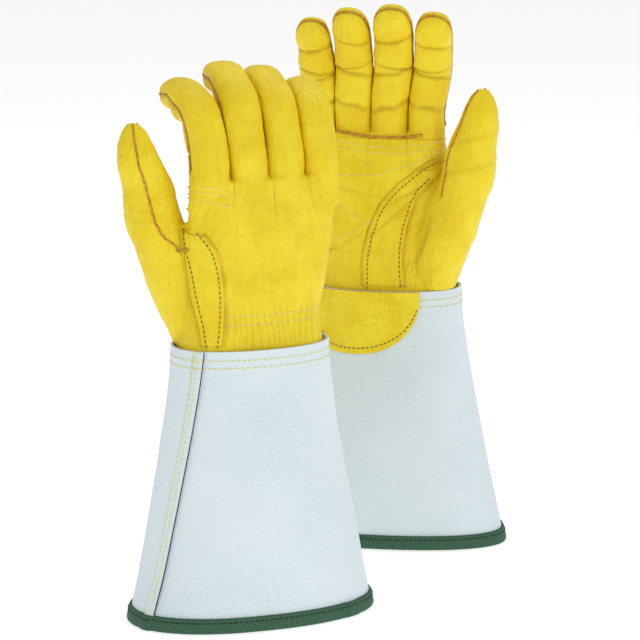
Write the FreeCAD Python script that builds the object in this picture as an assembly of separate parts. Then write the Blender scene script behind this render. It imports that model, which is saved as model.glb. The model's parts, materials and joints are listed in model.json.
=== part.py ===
import FreeCAD
import Part

import math
import os

# A pair of long-cuff leather lineman's gloves, standing upright on their open hems.
# Units are millimetres. Every glove is modelled in its own glove frame and then placed in the row frame:
#   +X towards the thumb side, +Y out of the back of the hand, +Z up from the hem to the fingertips.
# Both gloves are right-hand gloves: the far one shows its palm to -Y, the near one shows its back to -Y.

Vec = FreeCAD.Vector

# --- leather and tape ---------------------------------------------------------------------------
HAND_LEATHER = 1.8
CUFF_LEATHER = 2.0
PATCH_LEATHER = 1.3
BINDING_TAPE = 1.1
THREAD = 0.8
SKIN_GAP = 0.05
THREAD_GAP = 0.12
THUMB_CLEARANCE = 0.8

# --- heights above the hem ----------------------------------------------------------------------
CUFF_TOP_Z = 190.0
WRIST_Z = 191.5
KNUCKLE_Z = 313.0
KNUCKLE_Y = 2.0
HAND_TOP_Z = KNUCKLE_Z - 1.0
THUMB_HINGE_Z = 262.0

# --- gauntlet cuff: half width and half depth at the top, flaring to the hem ----------------------
CUFF_TOP_HALF = (54.0, 32.0)
CUFF_FLARE_POWER = 1.3
CUFF_CENTRE_X = -4.0
CUFF_LEVELS = (0.0, 0.2, 0.45, 0.7, 0.88, 1.0)
CUFF_ROUNDNESS = 2.2
HEM_RAISED_BY = 1.6
BINDING_HEIGHT = 9.0
BINDING_STITCH_Z = 6.4
CUFF_STITCH_ZS = (180.5, 185.5)
PULSE_PATCH_CENTRE_X = -18.0
PULSE_PATCH_HALF_WIDTH = 47.0
PULSE_PATCH_DROP = 47.0

# --- hand tube: height, centre x, centre y, half width, half depth --------------------------------
HAND_SECTIONS = (
    (180.0, -4.0, 0.0, 47.0, 26.5),
    (205.0, -5.0, 0.0, 46.5, 25.5),
    (235.0, -8.0, 1.0, 48.5, 24.5),
    (270.0, -11.0, 1.5, 51.0, 21.5),
    (300.0, -13.5, 2.0, 52.5, 16.5),
    (320.0, -14.5, 2.0, 53.0, 14.0),
)
HAND_ROUNDNESS = 2.5
WRIST_RELIEF_DEG = 24.0
SHIRRING_ZS = (206.5, 212.5)
ELASTIC_BAND = (204.0, 215.0)
STRAP_WIDTH = 13.0
PALM_PATCH_Z = (216.0, 305.0)
PALM_PATCH_X = (-56.0, 40.0)

# --- thumb tube: height, centre x, centre y, half width, half depth --------------------------------
THUMB_SECTIONS = (
    (184.0, 27.0, -7.0, 18.0, 15.0),
    (205.0, 33.0, -10.0, 20.5, 17.5),
    (230.0, 41.5, -13.5, 22.0, 18.0),
    (258.0, 51.0, -17.0, 20.5, 16.5),
    (288.0, 60.5, -20.5, 18.5, 14.5),
    (310.0, 65.5, -23.0, 15.5, 12.0),
    (326.0, 68.0, -25.0, 11.0, 8.5),
    (334.0, 69.0, -26.0, 6.5, 5.0),
    (338.0, 69.5, -26.5, 3.0, 2.5),
)
THUMB_ROUNDNESS = 2.2
THUMB_TWIST_DEG = -22.0
THUMB_RELIEF_DEG = 17.0
THUMB_SEAM_TOWARDS_INDEX = 4.0
THUMB_SEAM_FACING_DEG = 150.0

# --- fingers: edges between the four columns at the knuckles, from the little finger's outer side --
COLUMN_EDGES = (-67.0, -42.0, -15.5, 12.0, 38.5)
FINGER_GAP = 0.7
FINGERS = ("little", "ring", "middle", "index")
FINGER_LENGTH = {"little": 79.0, "ring": 91.0, "middle": 95.0, "index": 87.0}
FINGER_HALF_DEPTH = {"little": 10.8, "ring": 11.8, "middle": 12.2, "index": 12.2}
FINGER_ROUNDNESS = 2.3
# share of the length, width and depth of each station, from the knuckle to the tip
FINGER_STATIONS = (
    (-0.14, 1.00, 1.00),
    (0.00, 1.00, 1.00),
    (0.18, 1.00, 0.98),
    (0.36, 1.00, 0.97),
    (0.52, 0.99, 0.95),
    (0.68, 0.98, 0.92),
    (0.82, 0.94, 0.86),
    (0.92, 0.80, 0.70),
    (0.98, 0.55, 0.46),
    (1.00, 0.30, 0.24),
)
MIDDLE_JOINT_SHARE = 0.42
TIP_JOINT_SHARE = 0.72
JOINT_SPREAD = 0.10
FLEX_RELIEF_DEG = 38.0
WELT_THICKNESS = 1.4
THUMB_WELT_STANDS_OUT = 1.3

# --- how each glove stands: place, turn, hem size, and its fingers' rest bends ----------------------
# bends are the angles at the knuckle, the middle joint and the tip joint, towards the palm;
# drift is how far the tip leans sideways, in mm.
GLOVES = {
    "near": {
        "at": (-45.87, -90.25),
        "turn_deg": 204.0,
        "hem_half": (86.0, 49.0),
        "bends": {
            "little": (25.0, 42.0, 25.0),
            "ring": (25.0, 40.0, 25.0),
            "middle": (23.0, 40.0, 26.0),
            "index": (27.0, 44.0, 28.0),
        },
        "drift": {"little": -2.0, "ring": -1.2, "middle": 0.0, "index": 6.0},
    },
    "far": {
        "at": (45.93, 105.35),
        "turn_deg": -6.0,
        "hem_half": (88.0, 40.0),
        "bends": {
            "little": (8.0, 18.0, 14.0),
            "ring": (10.0, 20.0, 16.0),
            "middle": (10.0, 20.0, 16.0),
            "index": (9.0, 18.0, 16.0),
        },
        "drift": {"little": -2.0, "ring": 0.0, "middle": 2.5, "index": 5.0},
    },
}
OPEN_END = 6.0
WIDE = 300.0


# --- shape helpers ----------------------------------------------------------------------------------
def round_wire(centre, x_dir, y_dir, half_x, half_y, roundness):
    """A smooth closed wire: a superellipse about centre, in the plane of x_dir and y_dir."""
    count = 12
    points = []
    for k in range(count):
        angle = 2 * math.pi * k / count
        c, s = math.cos(angle), math.sin(angle)
        x = half_x * math.copysign(abs(c) ** (2 / roundness), c)
        y = half_y * math.copysign(abs(s) ** (2 / roundness), s)
        points.append(centre + x_dir * x + y_dir * y)
    curve = Part.BSplineCurve()
    curve.interpolate(Points=points, PeriodicFlag=True)
    return Part.Wire([curve.toShape()])


def level_at(sections, z):
    """The section at height z, on straight lines between the listed ones and past their ends."""
    last = len(sections) - 1
    i = 0
    while i < last - 1 and z > sections[i + 1][0]:
        i += 1
    low, high = sections[i], sections[i + 1]
    t = (z - low[0]) / (high[0] - low[0])
    return [a + t * (b - a) for a, b in zip(low[1:], high[1:])]


def slab(z_low, z_high):
    """Everything between two heights."""
    return Part.makeBox(2 * WIDE, 2 * WIDE, z_high - z_low, Vec(-WIDE, -WIDE, z_low))


def back_half():
    """Everything on the back-of-hand side of the middle plane."""
    return Part.makeBox(2 * WIDE, WIDE, 2 * WIDE, Vec(-WIDE, 0, -20))


def palm_half():
    """Everything on the palm side of the middle plane."""
    return Part.makeBox(2 * WIDE, WIDE, 2 * WIDE, Vec(-WIDE, -WIDE, -20))


def prism_along_x(outline):
    """A solid from a closed outline of (y, z) points, running right across the glove."""
    points = [Vec(-WIDE, y, z) for y, z in outline]
    face = Part.Face(Part.makePolygon(points + points[:1]))
    return face.extrude(Vec(2 * WIDE, 0, 0))


def one_solid(shape):
    """The largest solid of a result, which drops the crumbs that thin walls can leave."""
    return max(shape.Solids, key=lambda s: s.Volume)


def group(shapes):
    """Several separate solids kept together in one node."""
    return Part.makeCompound([solid for shape in shapes for solid in shape.Solids])


# --- gauntlet cuff ----------------------------------------------------------------------------------
def cuff_half(hem_half, z):
    """Half width and half depth of the cuff's outside at height z."""
    t = max(0.0, (CUFF_TOP_Z - z) / CUFF_TOP_Z) ** CUFF_FLARE_POWER
    return [top + (hem - top) * t for top, hem in zip(CUFF_TOP_HALF, hem_half)]


def cuff_body(hem_half, offset, z_low, z_high):
    """The solid inside the cuff's outside, moved out by offset, between two heights."""
    wires = []
    for share in CUFF_LEVELS:
        z = z_low + (z_high - z_low) * share
        half_x, half_y = cuff_half(hem_half, z)
        centre = Vec(CUFF_CENTRE_X, 0, z)
        wires.append(
            round_wire(centre, Vec(1, 0, 0), Vec(0, 1, 0), half_x + offset, half_y + offset, CUFF_ROUNDNESS)
        )
    return Part.makeLoft(wires, True, False)


def cuff_layer(hem_half, inside, outside, z_low, z_high):
    """A closed band of material round the cuff, from one offset to another."""
    outer = cuff_body(hem_half, outside, z_low, z_high)
    inner = cuff_body(hem_half, inside, z_low - OPEN_END, z_high + OPEN_END)
    return outer.cut(inner)


def build_cuff(hem_half):
    """Two split-leather panels, the hem binding, the wrist patch and their thread rows."""
    wall = cuff_layer(hem_half, -CUFF_LEATHER, 0.0, HEM_RAISED_BY, CUFF_TOP_Z)
    tape = cuff_layer(hem_half, -CUFF_LEATHER - BINDING_TAPE, BINDING_TAPE, 0.0, BINDING_HEIGHT)
    room_for_wall = cuff_layer(
        hem_half, -CUFF_LEATHER - SKIN_GAP, SKIN_GAP, HEM_RAISED_BY - SKIN_GAP, CUFF_TOP_Z + OPEN_END
    )
    patch_outline = Part.Face(
        Part.Wire(
            [
                Part.Ellipse(
                    Vec(PULSE_PATCH_CENTRE_X + PULSE_PATCH_HALF_WIDTH, 0, CUFF_TOP_Z),
                    Vec(PULSE_PATCH_CENTRE_X, 0, CUFF_TOP_Z - PULSE_PATCH_DROP + SKIN_GAP),
                    Vec(PULSE_PATCH_CENTRE_X, 0, CUFF_TOP_Z),
                ).toShape()
            ]
        )
    ).extrude(Vec(0, -WIDE, 0))
    patch_layer = cuff_layer(hem_half, SKIN_GAP, PATCH_LEATHER, CUFF_TOP_Z - 60.0, CUFF_TOP_Z - 0.5)
    rows = [
        cuff_layer(hem_half, THREAD_GAP, THREAD, z, z + THREAD).cut(patch_outline) for z in CUFF_STITCH_ZS
    ]
    row_z = BINDING_STITCH_Z
    return {
        "cuff_back_panel": wall.common(back_half()),
        "cuff_palm_panel": wall.common(palm_half()),
        "cuff_hem_binding": tape.cut(room_for_wall),
        "cuff_pulse_patch": one_solid(patch_layer.common(patch_outline)),
        "cuff_top_stitching": group(rows),
        "binding_stitching": cuff_layer(
            hem_half, BINDING_TAPE + THREAD_GAP, BINDING_TAPE + THREAD, row_z, row_z + THREAD
        ),
    }


# --- hand and thumb root ----------------------------------------------------------------------------
def tube(sections, roundness, twist_deg, offset, z_low, z_high):
    """The solid inside a tube of level sections, moved out by offset, between two heights."""
    levels = [z for z, *_ in sections if z_low + 2.0 < z < z_high - 2.0]
    twist = math.radians(twist_deg)
    x_dir = Vec(math.cos(twist), math.sin(twist), 0)
    y_dir = Vec(-math.sin(twist), math.cos(twist), 0)
    wires = []
    for z in [z_low, *levels, z_high]:
        cx, cy, half_x, half_y = level_at(sections, z)
        wide, deep = max(0.8, half_x + offset), max(0.8, half_y + offset)
        wires.append(round_wire(Vec(cx, cy, z), x_dir, y_dir, wide, deep, roundness))
    return Part.makeLoft(wires, True, False)


def hand_body(offset, z_low=WRIST_Z, z_high=HAND_TOP_Z):
    return tube(HAND_SECTIONS, HAND_ROUNDNESS, 0.0, offset, z_low, z_high)


def thumb_body(thumb, offset, z_low, z_high):
    return tube(thumb, THUMB_ROUNDNESS, THUMB_TWIST_DEG, offset, z_low, z_high)


def wrist_relief():
    """The wedges under the hand that leave room for it to bend at the wrist."""
    rise = WIDE * math.tan(math.radians(WRIST_RELIEF_DEG))
    apex = WRIST_Z + 0.3
    return prism_along_x(
        [(0, apex), (WIDE, apex + rise), (WIDE, apex - 90), (-WIDE, apex - 90), (-WIDE, apex + rise)]
    )


def thumb_hinge_point(thumb):
    cx, cy, _, _ = level_at(thumb, THUMB_HINGE_Z)
    return Vec(cx, cy, THUMB_HINGE_Z)


def build_hand(thumb):
    """Back and palm panels, thumb root, reinforcements, and the gathered wrist."""
    low, high = WRIST_Z - OPEN_END, HAND_TOP_Z + OPEN_END
    relief = wrist_relief()
    outer = hand_body(0.0)
    inner = hand_body(-HAND_LEATHER, low, high)
    thumb_hollow = thumb_body(thumb, -HAND_LEATHER, low, THUMB_HINGE_Z)
    shell = outer.cut(inner).cut(thumb_hollow).cut(relief)
    swing_space = thumb_body(thumb, THUMB_CLEARANCE, THUMB_HINGE_Z - 0.5, THUMB_HINGE_Z + 50.0)
    shell = shell.cut(swing_space)
    root_top = THUMB_HINGE_Z - 1.0
    root = thumb_body(thumb, 0.0, WRIST_Z, root_top)
    root = root.cut(thumb_body(thumb, -HAND_LEATHER, low, root_top + OPEN_END))
    root = root.cut(hand_body(SKIN_GAP, low, high)).cut(relief)
    layer = hand_body(PATCH_LEATHER).cut(hand_body(SKIN_GAP, low, high)).cut(relief)
    strap_zone = thumb_body(thumb, STRAP_WIDTH, WRIST_Z, root_top + STRAP_WIDTH)
    beside_thumb = thumb_body(thumb, THUMB_CLEARANCE, low, root_top + 50.0)
    strap = layer.common(strap_zone).cut(beside_thumb)
    patch_box = Part.makeBox(
        PALM_PATCH_X[1] - PALM_PATCH_X[0],
        WIDE,
        PALM_PATCH_Z[1] - PALM_PATCH_Z[0],
        Vec(PALM_PATCH_X[0], -WIDE, PALM_PATCH_Z[0]),
    )
    palm_patch = layer.common(patch_box).cut(thumb_body(thumb, STRAP_WIDTH + 0.4, low, root_top + STRAP_WIDTH))
    elastic = hand_body(-HAND_LEATHER - 0.5, *ELASTIC_BAND).cut(
        hand_body(-HAND_LEATHER - 1.6, ELASTIC_BAND[0] - 2.0, ELASTIC_BAND[1] + 2.0)
    )
    thumb_space = thumb_body(thumb, 0.4, low, THUMB_HINGE_Z)
    elastic = elastic.common(back_half()).cut(thumb_space).cut(relief)
    near_thumb = thumb_body(thumb, STRAP_WIDTH + 1.0, low, root_top)
    rows = []
    for z in SHIRRING_ZS:
        row = hand_body(THREAD, z, z + THREAD).cut(hand_body(0.0, z - 2.0, z + 3.0))
        rows.append(row.common(back_half()).cut(near_thumb).cut(relief))
    return {
        "back_panel": one_solid(shell.common(back_half())),
        "palm_panel": one_solid(shell.common(palm_half())),
        "thumb_root": one_solid(root),
        "thumb_strap": one_solid(strap),
        "palm_patch": one_solid(palm_patch),
        "wrist_elastic": one_solid(elastic),
        "wrist_shirring_stitching": group(rows),
    }


# --- thumb ------------------------------------------------------------------------------------------
def thumb_relief(thumb):
    """The wedge under the thumb that leaves room for it to swing to and from the palm."""
    pivot = thumb_hinge_point(thumb)
    rise = WIDE * math.tan(math.radians(THUMB_RELIEF_DEG))
    outline = [
        Vec(0, 0, 0),
        Vec(WIDE, 0, rise),
        Vec(WIDE, 0, -WIDE),
        Vec(-WIDE, 0, -WIDE),
        Vec(-WIDE, 0, rise),
    ]
    face = Part.Face(Part.makePolygon([*outline, outline[0]]))
    wedge = face.extrude(Vec(0, 2 * WIDE, 0))
    wedge.translate(Vec(0, -WIDE, 0))
    wedge.rotate(Vec(0, 0, 0), Vec(0, 0, 1), THUMB_TWIST_DEG)
    wedge.translate(pivot)
    return wedge


def thumb_inner_side(thumb):
    """Everything on the index-finger side of the thumb's two long seams."""
    facing = math.radians(THUMB_SEAM_FACING_DEG)
    pivot = thumb_hinge_point(thumb)
    tip = Vec(thumb[-1][1], thumb[-1][2], thumb[-1][0])
    up = (tip - pivot).normalize()
    across = up.cross(Vec(math.cos(facing), math.sin(facing), 0)).normalize()
    outward = across.cross(up).normalize()
    box = Part.makeBox(2 * WIDE, 2 * WIDE, WIDE, Vec(-WIDE, -WIDE, 0))
    turn = FreeCAD.Rotation(across, up, outward, "ZXY")
    box.Placement = FreeCAD.Placement(pivot + outward * THUMB_SEAM_TOWARDS_INDEX, turn)
    return box


def build_thumb(thumb):
    """The outer and inner pieces of the thumb and the welt sewn between them."""
    low, high = THUMB_HINGE_Z - OPEN_END, thumb[-1][0]
    relief = thumb_relief(thumb)
    full = thumb_body(thumb, 0.0, low, high)
    shell = full.cut(thumb_body(thumb, -HAND_LEATHER, low - OPEN_END, high - 4.0)).cut(relief)
    inner_side = thumb_inner_side(thumb)
    band = thumb_body(thumb, THUMB_WELT_STANDS_OUT, low, high + THUMB_WELT_STANDS_OUT)
    band = band.cut(thumb_body(thumb, SKIN_GAP, low - 1.0, high))
    middle_of_welt = thumb_inner_side(thumb)
    normal = middle_of_welt.Placement.Rotation.multVec(Vec(0, 0, 1))
    middle_of_welt.translate(normal * WELT_THICKNESS)
    welt = band.common(inner_side).cut(middle_of_welt).cut(full).cut(relief)
    return {
        "thumb_outer": one_solid(shell.cut(inner_side)),
        "thumb_inner": one_solid(shell.common(inner_side)),
        "thumb_welt": group([welt]),
    }


# --- fingers ----------------------------------------------------------------------------------------
def bend_at(bends, share):
    """How far the finger leans towards the palm at this share of its length, in radians."""
    total = bends[0]
    for joint, angle in ((MIDDLE_JOINT_SHARE, bends[1]), (TIP_JOINT_SHARE, bends[2])):
        t = min(1.0, max(0.0, (share - joint + JOINT_SPREAD) / (2 * JOINT_SPREAD)))
        total += angle * t * t * (3 - 2 * t)
    return math.radians(total)


def centreline(length, bends, share):
    """(y, z) of the finger's middle at a share of its length, and its lean."""
    steps = 60
    y, z = KNUCKLE_Y, KNUCKLE_Z
    step = share * length / steps
    for k in range(steps):
        lean = bend_at(bends, share * (k + 0.5) / steps)
        y -= math.sin(lean) * step
        z += math.cos(lean) * step
    return y, z, bend_at(bends, share)


def finger_body(spec, finger, offset, end_share=1.0):
    """The solid inside a finger's outside, moved out by offset, up to a share of its length."""
    edge = FINGERS.index(finger)
    low, high = COLUMN_EDGES[edge], COLUMN_EDGES[edge + 1]
    half_x = (high - low - FINGER_GAP) / 2
    half_y = FINGER_HALF_DEPTH[finger]
    length, bends = FINGER_LENGTH[finger], spec["bends"][finger]
    wires = []
    for share, width, depth in FINGER_STATIONS:
        if share > end_share:
            break
        y, z, lean = centreline(length, bends, share)
        reach = math.hypot(y - KNUCKLE_Y, z - KNUCKLE_Z) / length
        x = (low + high) / 2 + spec["drift"][finger] * (reach if share > 0 else 0.0)
        out_of_back = Vec(0, math.cos(lean), math.sin(lean))
        wires.append(
            round_wire(
                Vec(x, y, z),
                Vec(1, 0, 0),
                out_of_back,
                half_x * width + offset,
                half_y * depth + offset,
                FINGER_ROUNDNESS,
            )
        )
    return Part.makeLoft(wires, True, False)


def palm_side_of(spec, finger):
    """Everything on the palm side of a finger's middle line."""
    length, bends = FINGER_LENGTH[finger], spec["bends"][finger]
    points = [centreline(length, bends, share)[:2] for share, _, _ in FINGER_STATIONS[1:]]
    lean = bend_at(bends, 1.0)
    beyond = (points[-1][0] - 25 * math.sin(lean), points[-1][1] + 25 * math.cos(lean))
    floor_z = KNUCKLE_Z - 40
    start = (KNUCKLE_Y, floor_z)
    return prism_along_x([start, *points, beyond, (-WIDE, beyond[1]), (-WIDE, floor_z)])


def finger_relief(bends):
    """The wedge under a finger that leaves room for it to straighten and to close."""
    close = WIDE * math.tan(math.radians(FLEX_RELIEF_DEG))
    straighten = WIDE * math.tan(math.radians(bends[0] + 3.0))
    below = KNUCKLE_Z - 80
    return prism_along_x(
        [
            (KNUCKLE_Y, KNUCKLE_Z),
            (KNUCKLE_Y + WIDE, KNUCKLE_Z + straighten),
            (KNUCKLE_Y + WIDE, below),
            (KNUCKLE_Y - WIDE, below),
            (KNUCKLE_Y - WIDE, KNUCKLE_Z + close),
        ]
    )


def welt_slab(spec, finger):
    """A thin sheet along the finger's middle line, wider than the finger."""
    length, bends = FINGER_LENGTH[finger], spec["bends"][finger]
    half = WELT_THICKNESS / 2
    front, back = [], []
    for share, _, _ in FINGER_STATIONS[1:]:
        y, z, lean = centreline(length, bends, share)
        front.append((y - half * math.cos(lean), z - half * math.sin(lean)))
        back.append((y + half * math.cos(lean), z + half * math.sin(lean)))
    return prism_along_x([*front, *reversed(back)])


def build_finger(spec, finger):
    """Front and back pieces of one finger, and the welt along its sides."""
    relief = finger_relief(spec["bends"][finger])
    outer = finger_body(spec, finger, 0.0)
    shell = outer.cut(finger_body(spec, finger, -HAND_LEATHER, 0.98)).cut(relief)
    palm_side = palm_side_of(spec, finger)
    welt_sheet = welt_slab(spec, finger)
    cloth = shell.cut(welt_sheet)
    return {
        f"{finger}_finger_front": one_solid(cloth.common(palm_side)),
        f"{finger}_finger_back": one_solid(cloth.cut(palm_side)),
        f"{finger}_finger_welt": group([shell.common(welt_sheet)]),
    }


# --- both gloves ------------------------------------------------------------------------------------
def export_glove(name, spec, hand_and_thumb):
    """Build one glove in its own frame, then place its pieces in the row frame and write them out."""
    pieces = build_cuff(spec["hem_half"])
    pieces.update({part_name: shape.copy() for part_name, shape in hand_and_thumb.items()})
    for finger in FINGERS:
        pieces.update(build_finger(spec, finger))
    for part_name, shape in pieces.items():
        shape.rotate(Vec(0, 0, 0), Vec(0, 0, 1), spec["turn_deg"])
        shape.translate(Vec(spec["at"][0], spec["at"][1], 0))
        shape.exportStep(f"parts/{name}_{part_name}.step")


os.makedirs("parts", exist_ok=True)
right_hand = {**build_hand(THUMB_SECTIONS), **build_thumb(THUMB_SECTIONS)}
for glove_name, glove_spec in GLOVES.items():
    export_glove(glove_name, glove_spec, right_hand)
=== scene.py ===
import json
import math

import bpy
import numpy as np
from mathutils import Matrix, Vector, noise
from mathutils.bvhtree import BVHTree


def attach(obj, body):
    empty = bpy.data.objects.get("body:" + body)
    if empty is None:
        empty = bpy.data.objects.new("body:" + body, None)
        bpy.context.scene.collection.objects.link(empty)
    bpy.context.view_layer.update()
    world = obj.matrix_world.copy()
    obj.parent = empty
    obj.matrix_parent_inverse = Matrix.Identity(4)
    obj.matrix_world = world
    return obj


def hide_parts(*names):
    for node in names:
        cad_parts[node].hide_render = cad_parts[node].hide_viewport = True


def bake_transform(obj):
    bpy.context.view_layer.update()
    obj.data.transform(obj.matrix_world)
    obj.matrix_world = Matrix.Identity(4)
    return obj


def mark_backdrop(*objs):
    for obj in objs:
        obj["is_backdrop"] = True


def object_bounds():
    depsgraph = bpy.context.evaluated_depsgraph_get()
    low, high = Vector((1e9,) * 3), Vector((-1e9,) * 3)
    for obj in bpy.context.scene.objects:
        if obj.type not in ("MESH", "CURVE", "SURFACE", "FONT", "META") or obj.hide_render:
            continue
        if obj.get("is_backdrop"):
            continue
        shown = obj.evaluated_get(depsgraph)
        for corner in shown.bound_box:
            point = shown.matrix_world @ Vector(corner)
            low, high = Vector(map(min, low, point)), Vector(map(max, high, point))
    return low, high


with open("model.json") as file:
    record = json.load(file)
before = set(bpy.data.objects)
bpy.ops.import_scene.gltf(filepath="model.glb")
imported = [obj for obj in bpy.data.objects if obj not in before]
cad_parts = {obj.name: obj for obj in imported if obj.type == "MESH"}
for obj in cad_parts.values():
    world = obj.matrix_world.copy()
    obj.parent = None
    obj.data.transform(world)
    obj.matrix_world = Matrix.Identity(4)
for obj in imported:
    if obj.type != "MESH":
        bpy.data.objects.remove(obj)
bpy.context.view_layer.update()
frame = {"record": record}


# =====================================================================================================
# Where each glove stands. A glove is laid out in millimetres in its own frame: +X to the thumb side,
# +Y out of the back of the hand, +Z up. Its place and turn come from its wrist joint in the record.
# =====================================================================================================
class Glove:
    """One glove's place, its rest pose and its sizes, in its own frame."""

    def __init__(self, name, **sizes):
        self.name = name
        self.__dict__.update(sizes)
        joints = {j["name"]: j for j in frame["record"]["behaviour"]["joints"]}
        wrist = joints[f"{name}_wrist"]
        ax, ay, _ = wrist["axis"]
        self.turn = np.array(((ax, -ay, 0.0), (ay, ax, 0.0), (0.0, 0.0, 1.0)))
        wrist_in_glove = np.array((-4.0, 0.0, 191.5))
        self.at = np.array(wrist["pos_m"]) - self.turn @ wrist_in_glove / 1000

    def row(self, points):
        """Glove-frame millimetres to row-frame metres."""
        return np.asarray(points, float) @ self.turn.T / 1000 + self.at

    def spot(self, x, y, z):
        """One point, in row-frame metres, as a tuple of floats."""
        return tuple(float(v) for v in self.row((x, y, z)))


gloves = [
    Glove(
        "near",
        hem_half=(86.0, 49.0),
        bends={
            "little": (25.0, 42.0, 25.0),
            "ring": (25.0, 40.0, 25.0),
            "middle": (23.0, 40.0, 26.0),
            "index": (27.0, 44.0, 28.0),
        },
        drift={"little": -2.0, "ring": -1.2, "middle": 0.0, "index": 6.0},
        fan=0.0,
        seed=3.0,
    ),
    Glove(
        "far",
        hem_half=(88.0, 40.0),
        bends={
            "little": (8.0, 18.0, 14.0),
            "ring": (10.0, 20.0, 16.0),
            "middle": (10.0, 20.0, 16.0),
            "index": (9.0, 18.0, 16.0),
        },
        drift={"little": -2.0, "ring": 0.0, "middle": 2.5, "index": 5.0},
        fan=0.045,
        seed=11.0,
    ),
]


# =====================================================================================================
# Finishes: dyed cowhide, split suede, woven tape and sewing thread. They are all procedural.
# =====================================================================================================
def hex_rgba(code):
    """An sRGB hex colour as the linear RGBA that Blender's sockets take."""
    out = []
    for i in (0, 2, 4):
        c = int(code[i : i + 2], 16) / 255
        out.append(c / 12.92 if c <= 0.04045 else ((c + 0.055) / 1.055) ** 2.4)
    return (*out, 1.0)


def node(tree, kind, at=(0, 0), links=None, **values):
    """Adds a node, sets its properties and input sockets, and links its inputs."""
    n = tree.nodes.new(kind)
    n.location = at
    for key, value in values.items():
        if hasattr(n, key):
            setattr(n, key, value)
        else:
            n.inputs[key.replace("_", " ")].default_value = value
    for key, source in (links or {}).items():
        tree.links.new(source, n.inputs[key])
    return n


def new_material(name, base, rough):
    """A material with one Principled shader, and that shader."""
    m = bpy.data.materials.new(name)
    m.use_nodes = True
    shader = m.node_tree.nodes["Principled BSDF"]
    shader.inputs["Base Color"].default_value = hex_rgba(base)
    shader.inputs["Roughness"].default_value = rough
    return m, m.node_tree, shader


def colour_ramp(tree, source, stops, at=(0, 0)):
    """A colour ramp with the given (position, colour) stops, fed by source."""
    ramp = node(tree, "ShaderNodeValToRGB", at)
    tree.links.new(source, ramp.inputs["Fac"])
    elements = ramp.color_ramp.elements
    while len(elements) < len(stops):
        elements.new(0.5)
    for e, (position, colour) in zip(elements, stops):
        e.position = position
        e.color = colour if not isinstance(colour, str) else hex_rgba(colour)
    return ramp


def grain_leather(name, light, mid, crease_shade_colour, pebble_mm=1.5, strength=0.35):
    """Dyed full-grain cowhide: pebbled surface, blotchy dye, and painted shade that makes it darker and
    browner down in its creases.
    """
    m, t, shader = new_material(name, mid, 0.5)
    rest = node(t, "ShaderNodeAttribute", (-1100, 0), attribute_name="rest")
    fold = node(t, "ShaderNodeAttribute", (-1100, -300), attribute_name="fold")
    spot = {"Vector": rest.outputs["Vector"]}
    blotch = node(t, "ShaderNodeTexNoise", (-850, 200), spot, Scale=45.0, Detail=5.0)
    dye = colour_ramp(t, blotch.outputs["Fac"], ((0.32, mid), (0.62, light)), (-600, 200))
    # Painted shade: the dye colour is mixed towards a darker, browner colour by the crease shade stored on
    # the skin.
    crease_shaded = node(t, "ShaderNodeMix", (-300, 100), data_type="RGBA")
    t.links.new(fold.outputs["Fac"], crease_shaded.inputs["Factor"])
    t.links.new(dye.outputs["Color"], crease_shaded.inputs["A"])
    crease_shaded.inputs["B"].default_value = hex_rgba(crease_shade_colour)
    pebble = node(t, "ShaderNodeTexVoronoi", (-850, -100), spot, feature="SMOOTH_F1", Scale=1000 / pebble_mm)
    drawn = node(t, "ShaderNodeMapping", (-1100, -600), spot, Scale=(1.0, 1.0, 0.34))
    drawn_spot = {"Vector": drawn.outputs["Vector"]}
    wrinkle = node(t, "ShaderNodeTexNoise", (-850, -600), drawn_spot, Scale=240.0, Detail=3.0, Distortion=1.2)
    fold_height = {"Height": wrinkle.outputs["Fac"]}
    folds = node(t, "ShaderNodeBump", (-600, -550), fold_height, Strength=0.9, Distance=0.0016)
    pores = node(t, "ShaderNodeTexNoise", (-850, -350), spot, Scale=260.0, Detail=6.0)
    height = node(t, "ShaderNodeMath", (-600, -200), operation="MULTIPLY_ADD")
    t.links.new(pores.outputs["Fac"], height.inputs[0])
    height.inputs[1].default_value = 1.6
    t.links.new(pebble.outputs["Distance"], height.inputs[2])
    height_on_folds = {"Height": height.outputs["Value"], "Normal": folds.outputs["Normal"]}
    bump = node(t, "ShaderNodeBump", (-300, -200), height_on_folds, Strength=strength, Distance=0.0004)
    t.links.new(crease_shaded.outputs["Result"], shader.inputs["Base Color"])
    t.links.new(bump.outputs["Normal"], shader.inputs["Normal"])
    shader.inputs["Roughness"].default_value = 0.48
    shader.inputs["Specular IOR Level"].default_value = 0.32
    return m


hand_leather = grain_leather("yellow grain cowhide, drum dyed", "F6DE2A", "EED014", "A07006")
patch_leather = grain_leather("yellow grain cowhide, die-cut patch", "F8E22E", "EED212", "B07E0A", 1.3, 0.25)


# =====================================================================================================
# The leather skin of each hand. It is worked out flat and straight first: fingers upright and a little
# apart, so that neighbours never fuse. Then it is creased, closed up and bent to how the glove stands.
# =====================================================================================================
COLUMNS = (-67.0, -42.0, -15.5, 12.0, 38.5)
FINGERS = ("little", "ring", "middle", "index")
LENGTH = {"little": 79.0, "ring": 91.0, "middle": 95.0, "index": 87.0}
HALF_DEPTH = {"little": 10.8, "ring": 11.8, "middle": 12.2, "index": 12.2}
KNUCKLE_Y, KNUCKLE_Z, CROTCH_Z = 2.0, 313.0, 303.0
APART = 5.5
TIP_ROUNDING = (
    (0.52, 0.99, 0.97),
    (0.68, 0.985, 0.94),
    (0.80, 0.95, 0.88),
    (0.89, 0.86, 0.77),
    (0.95, 0.70, 0.61),
)
SKIN_VOXEL = 1.3
SKIN_FOOT_Z = 184.6
TIP_END = ((0.985, 0.48, 0.41), (1.0, 0.22, 0.18))
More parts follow.
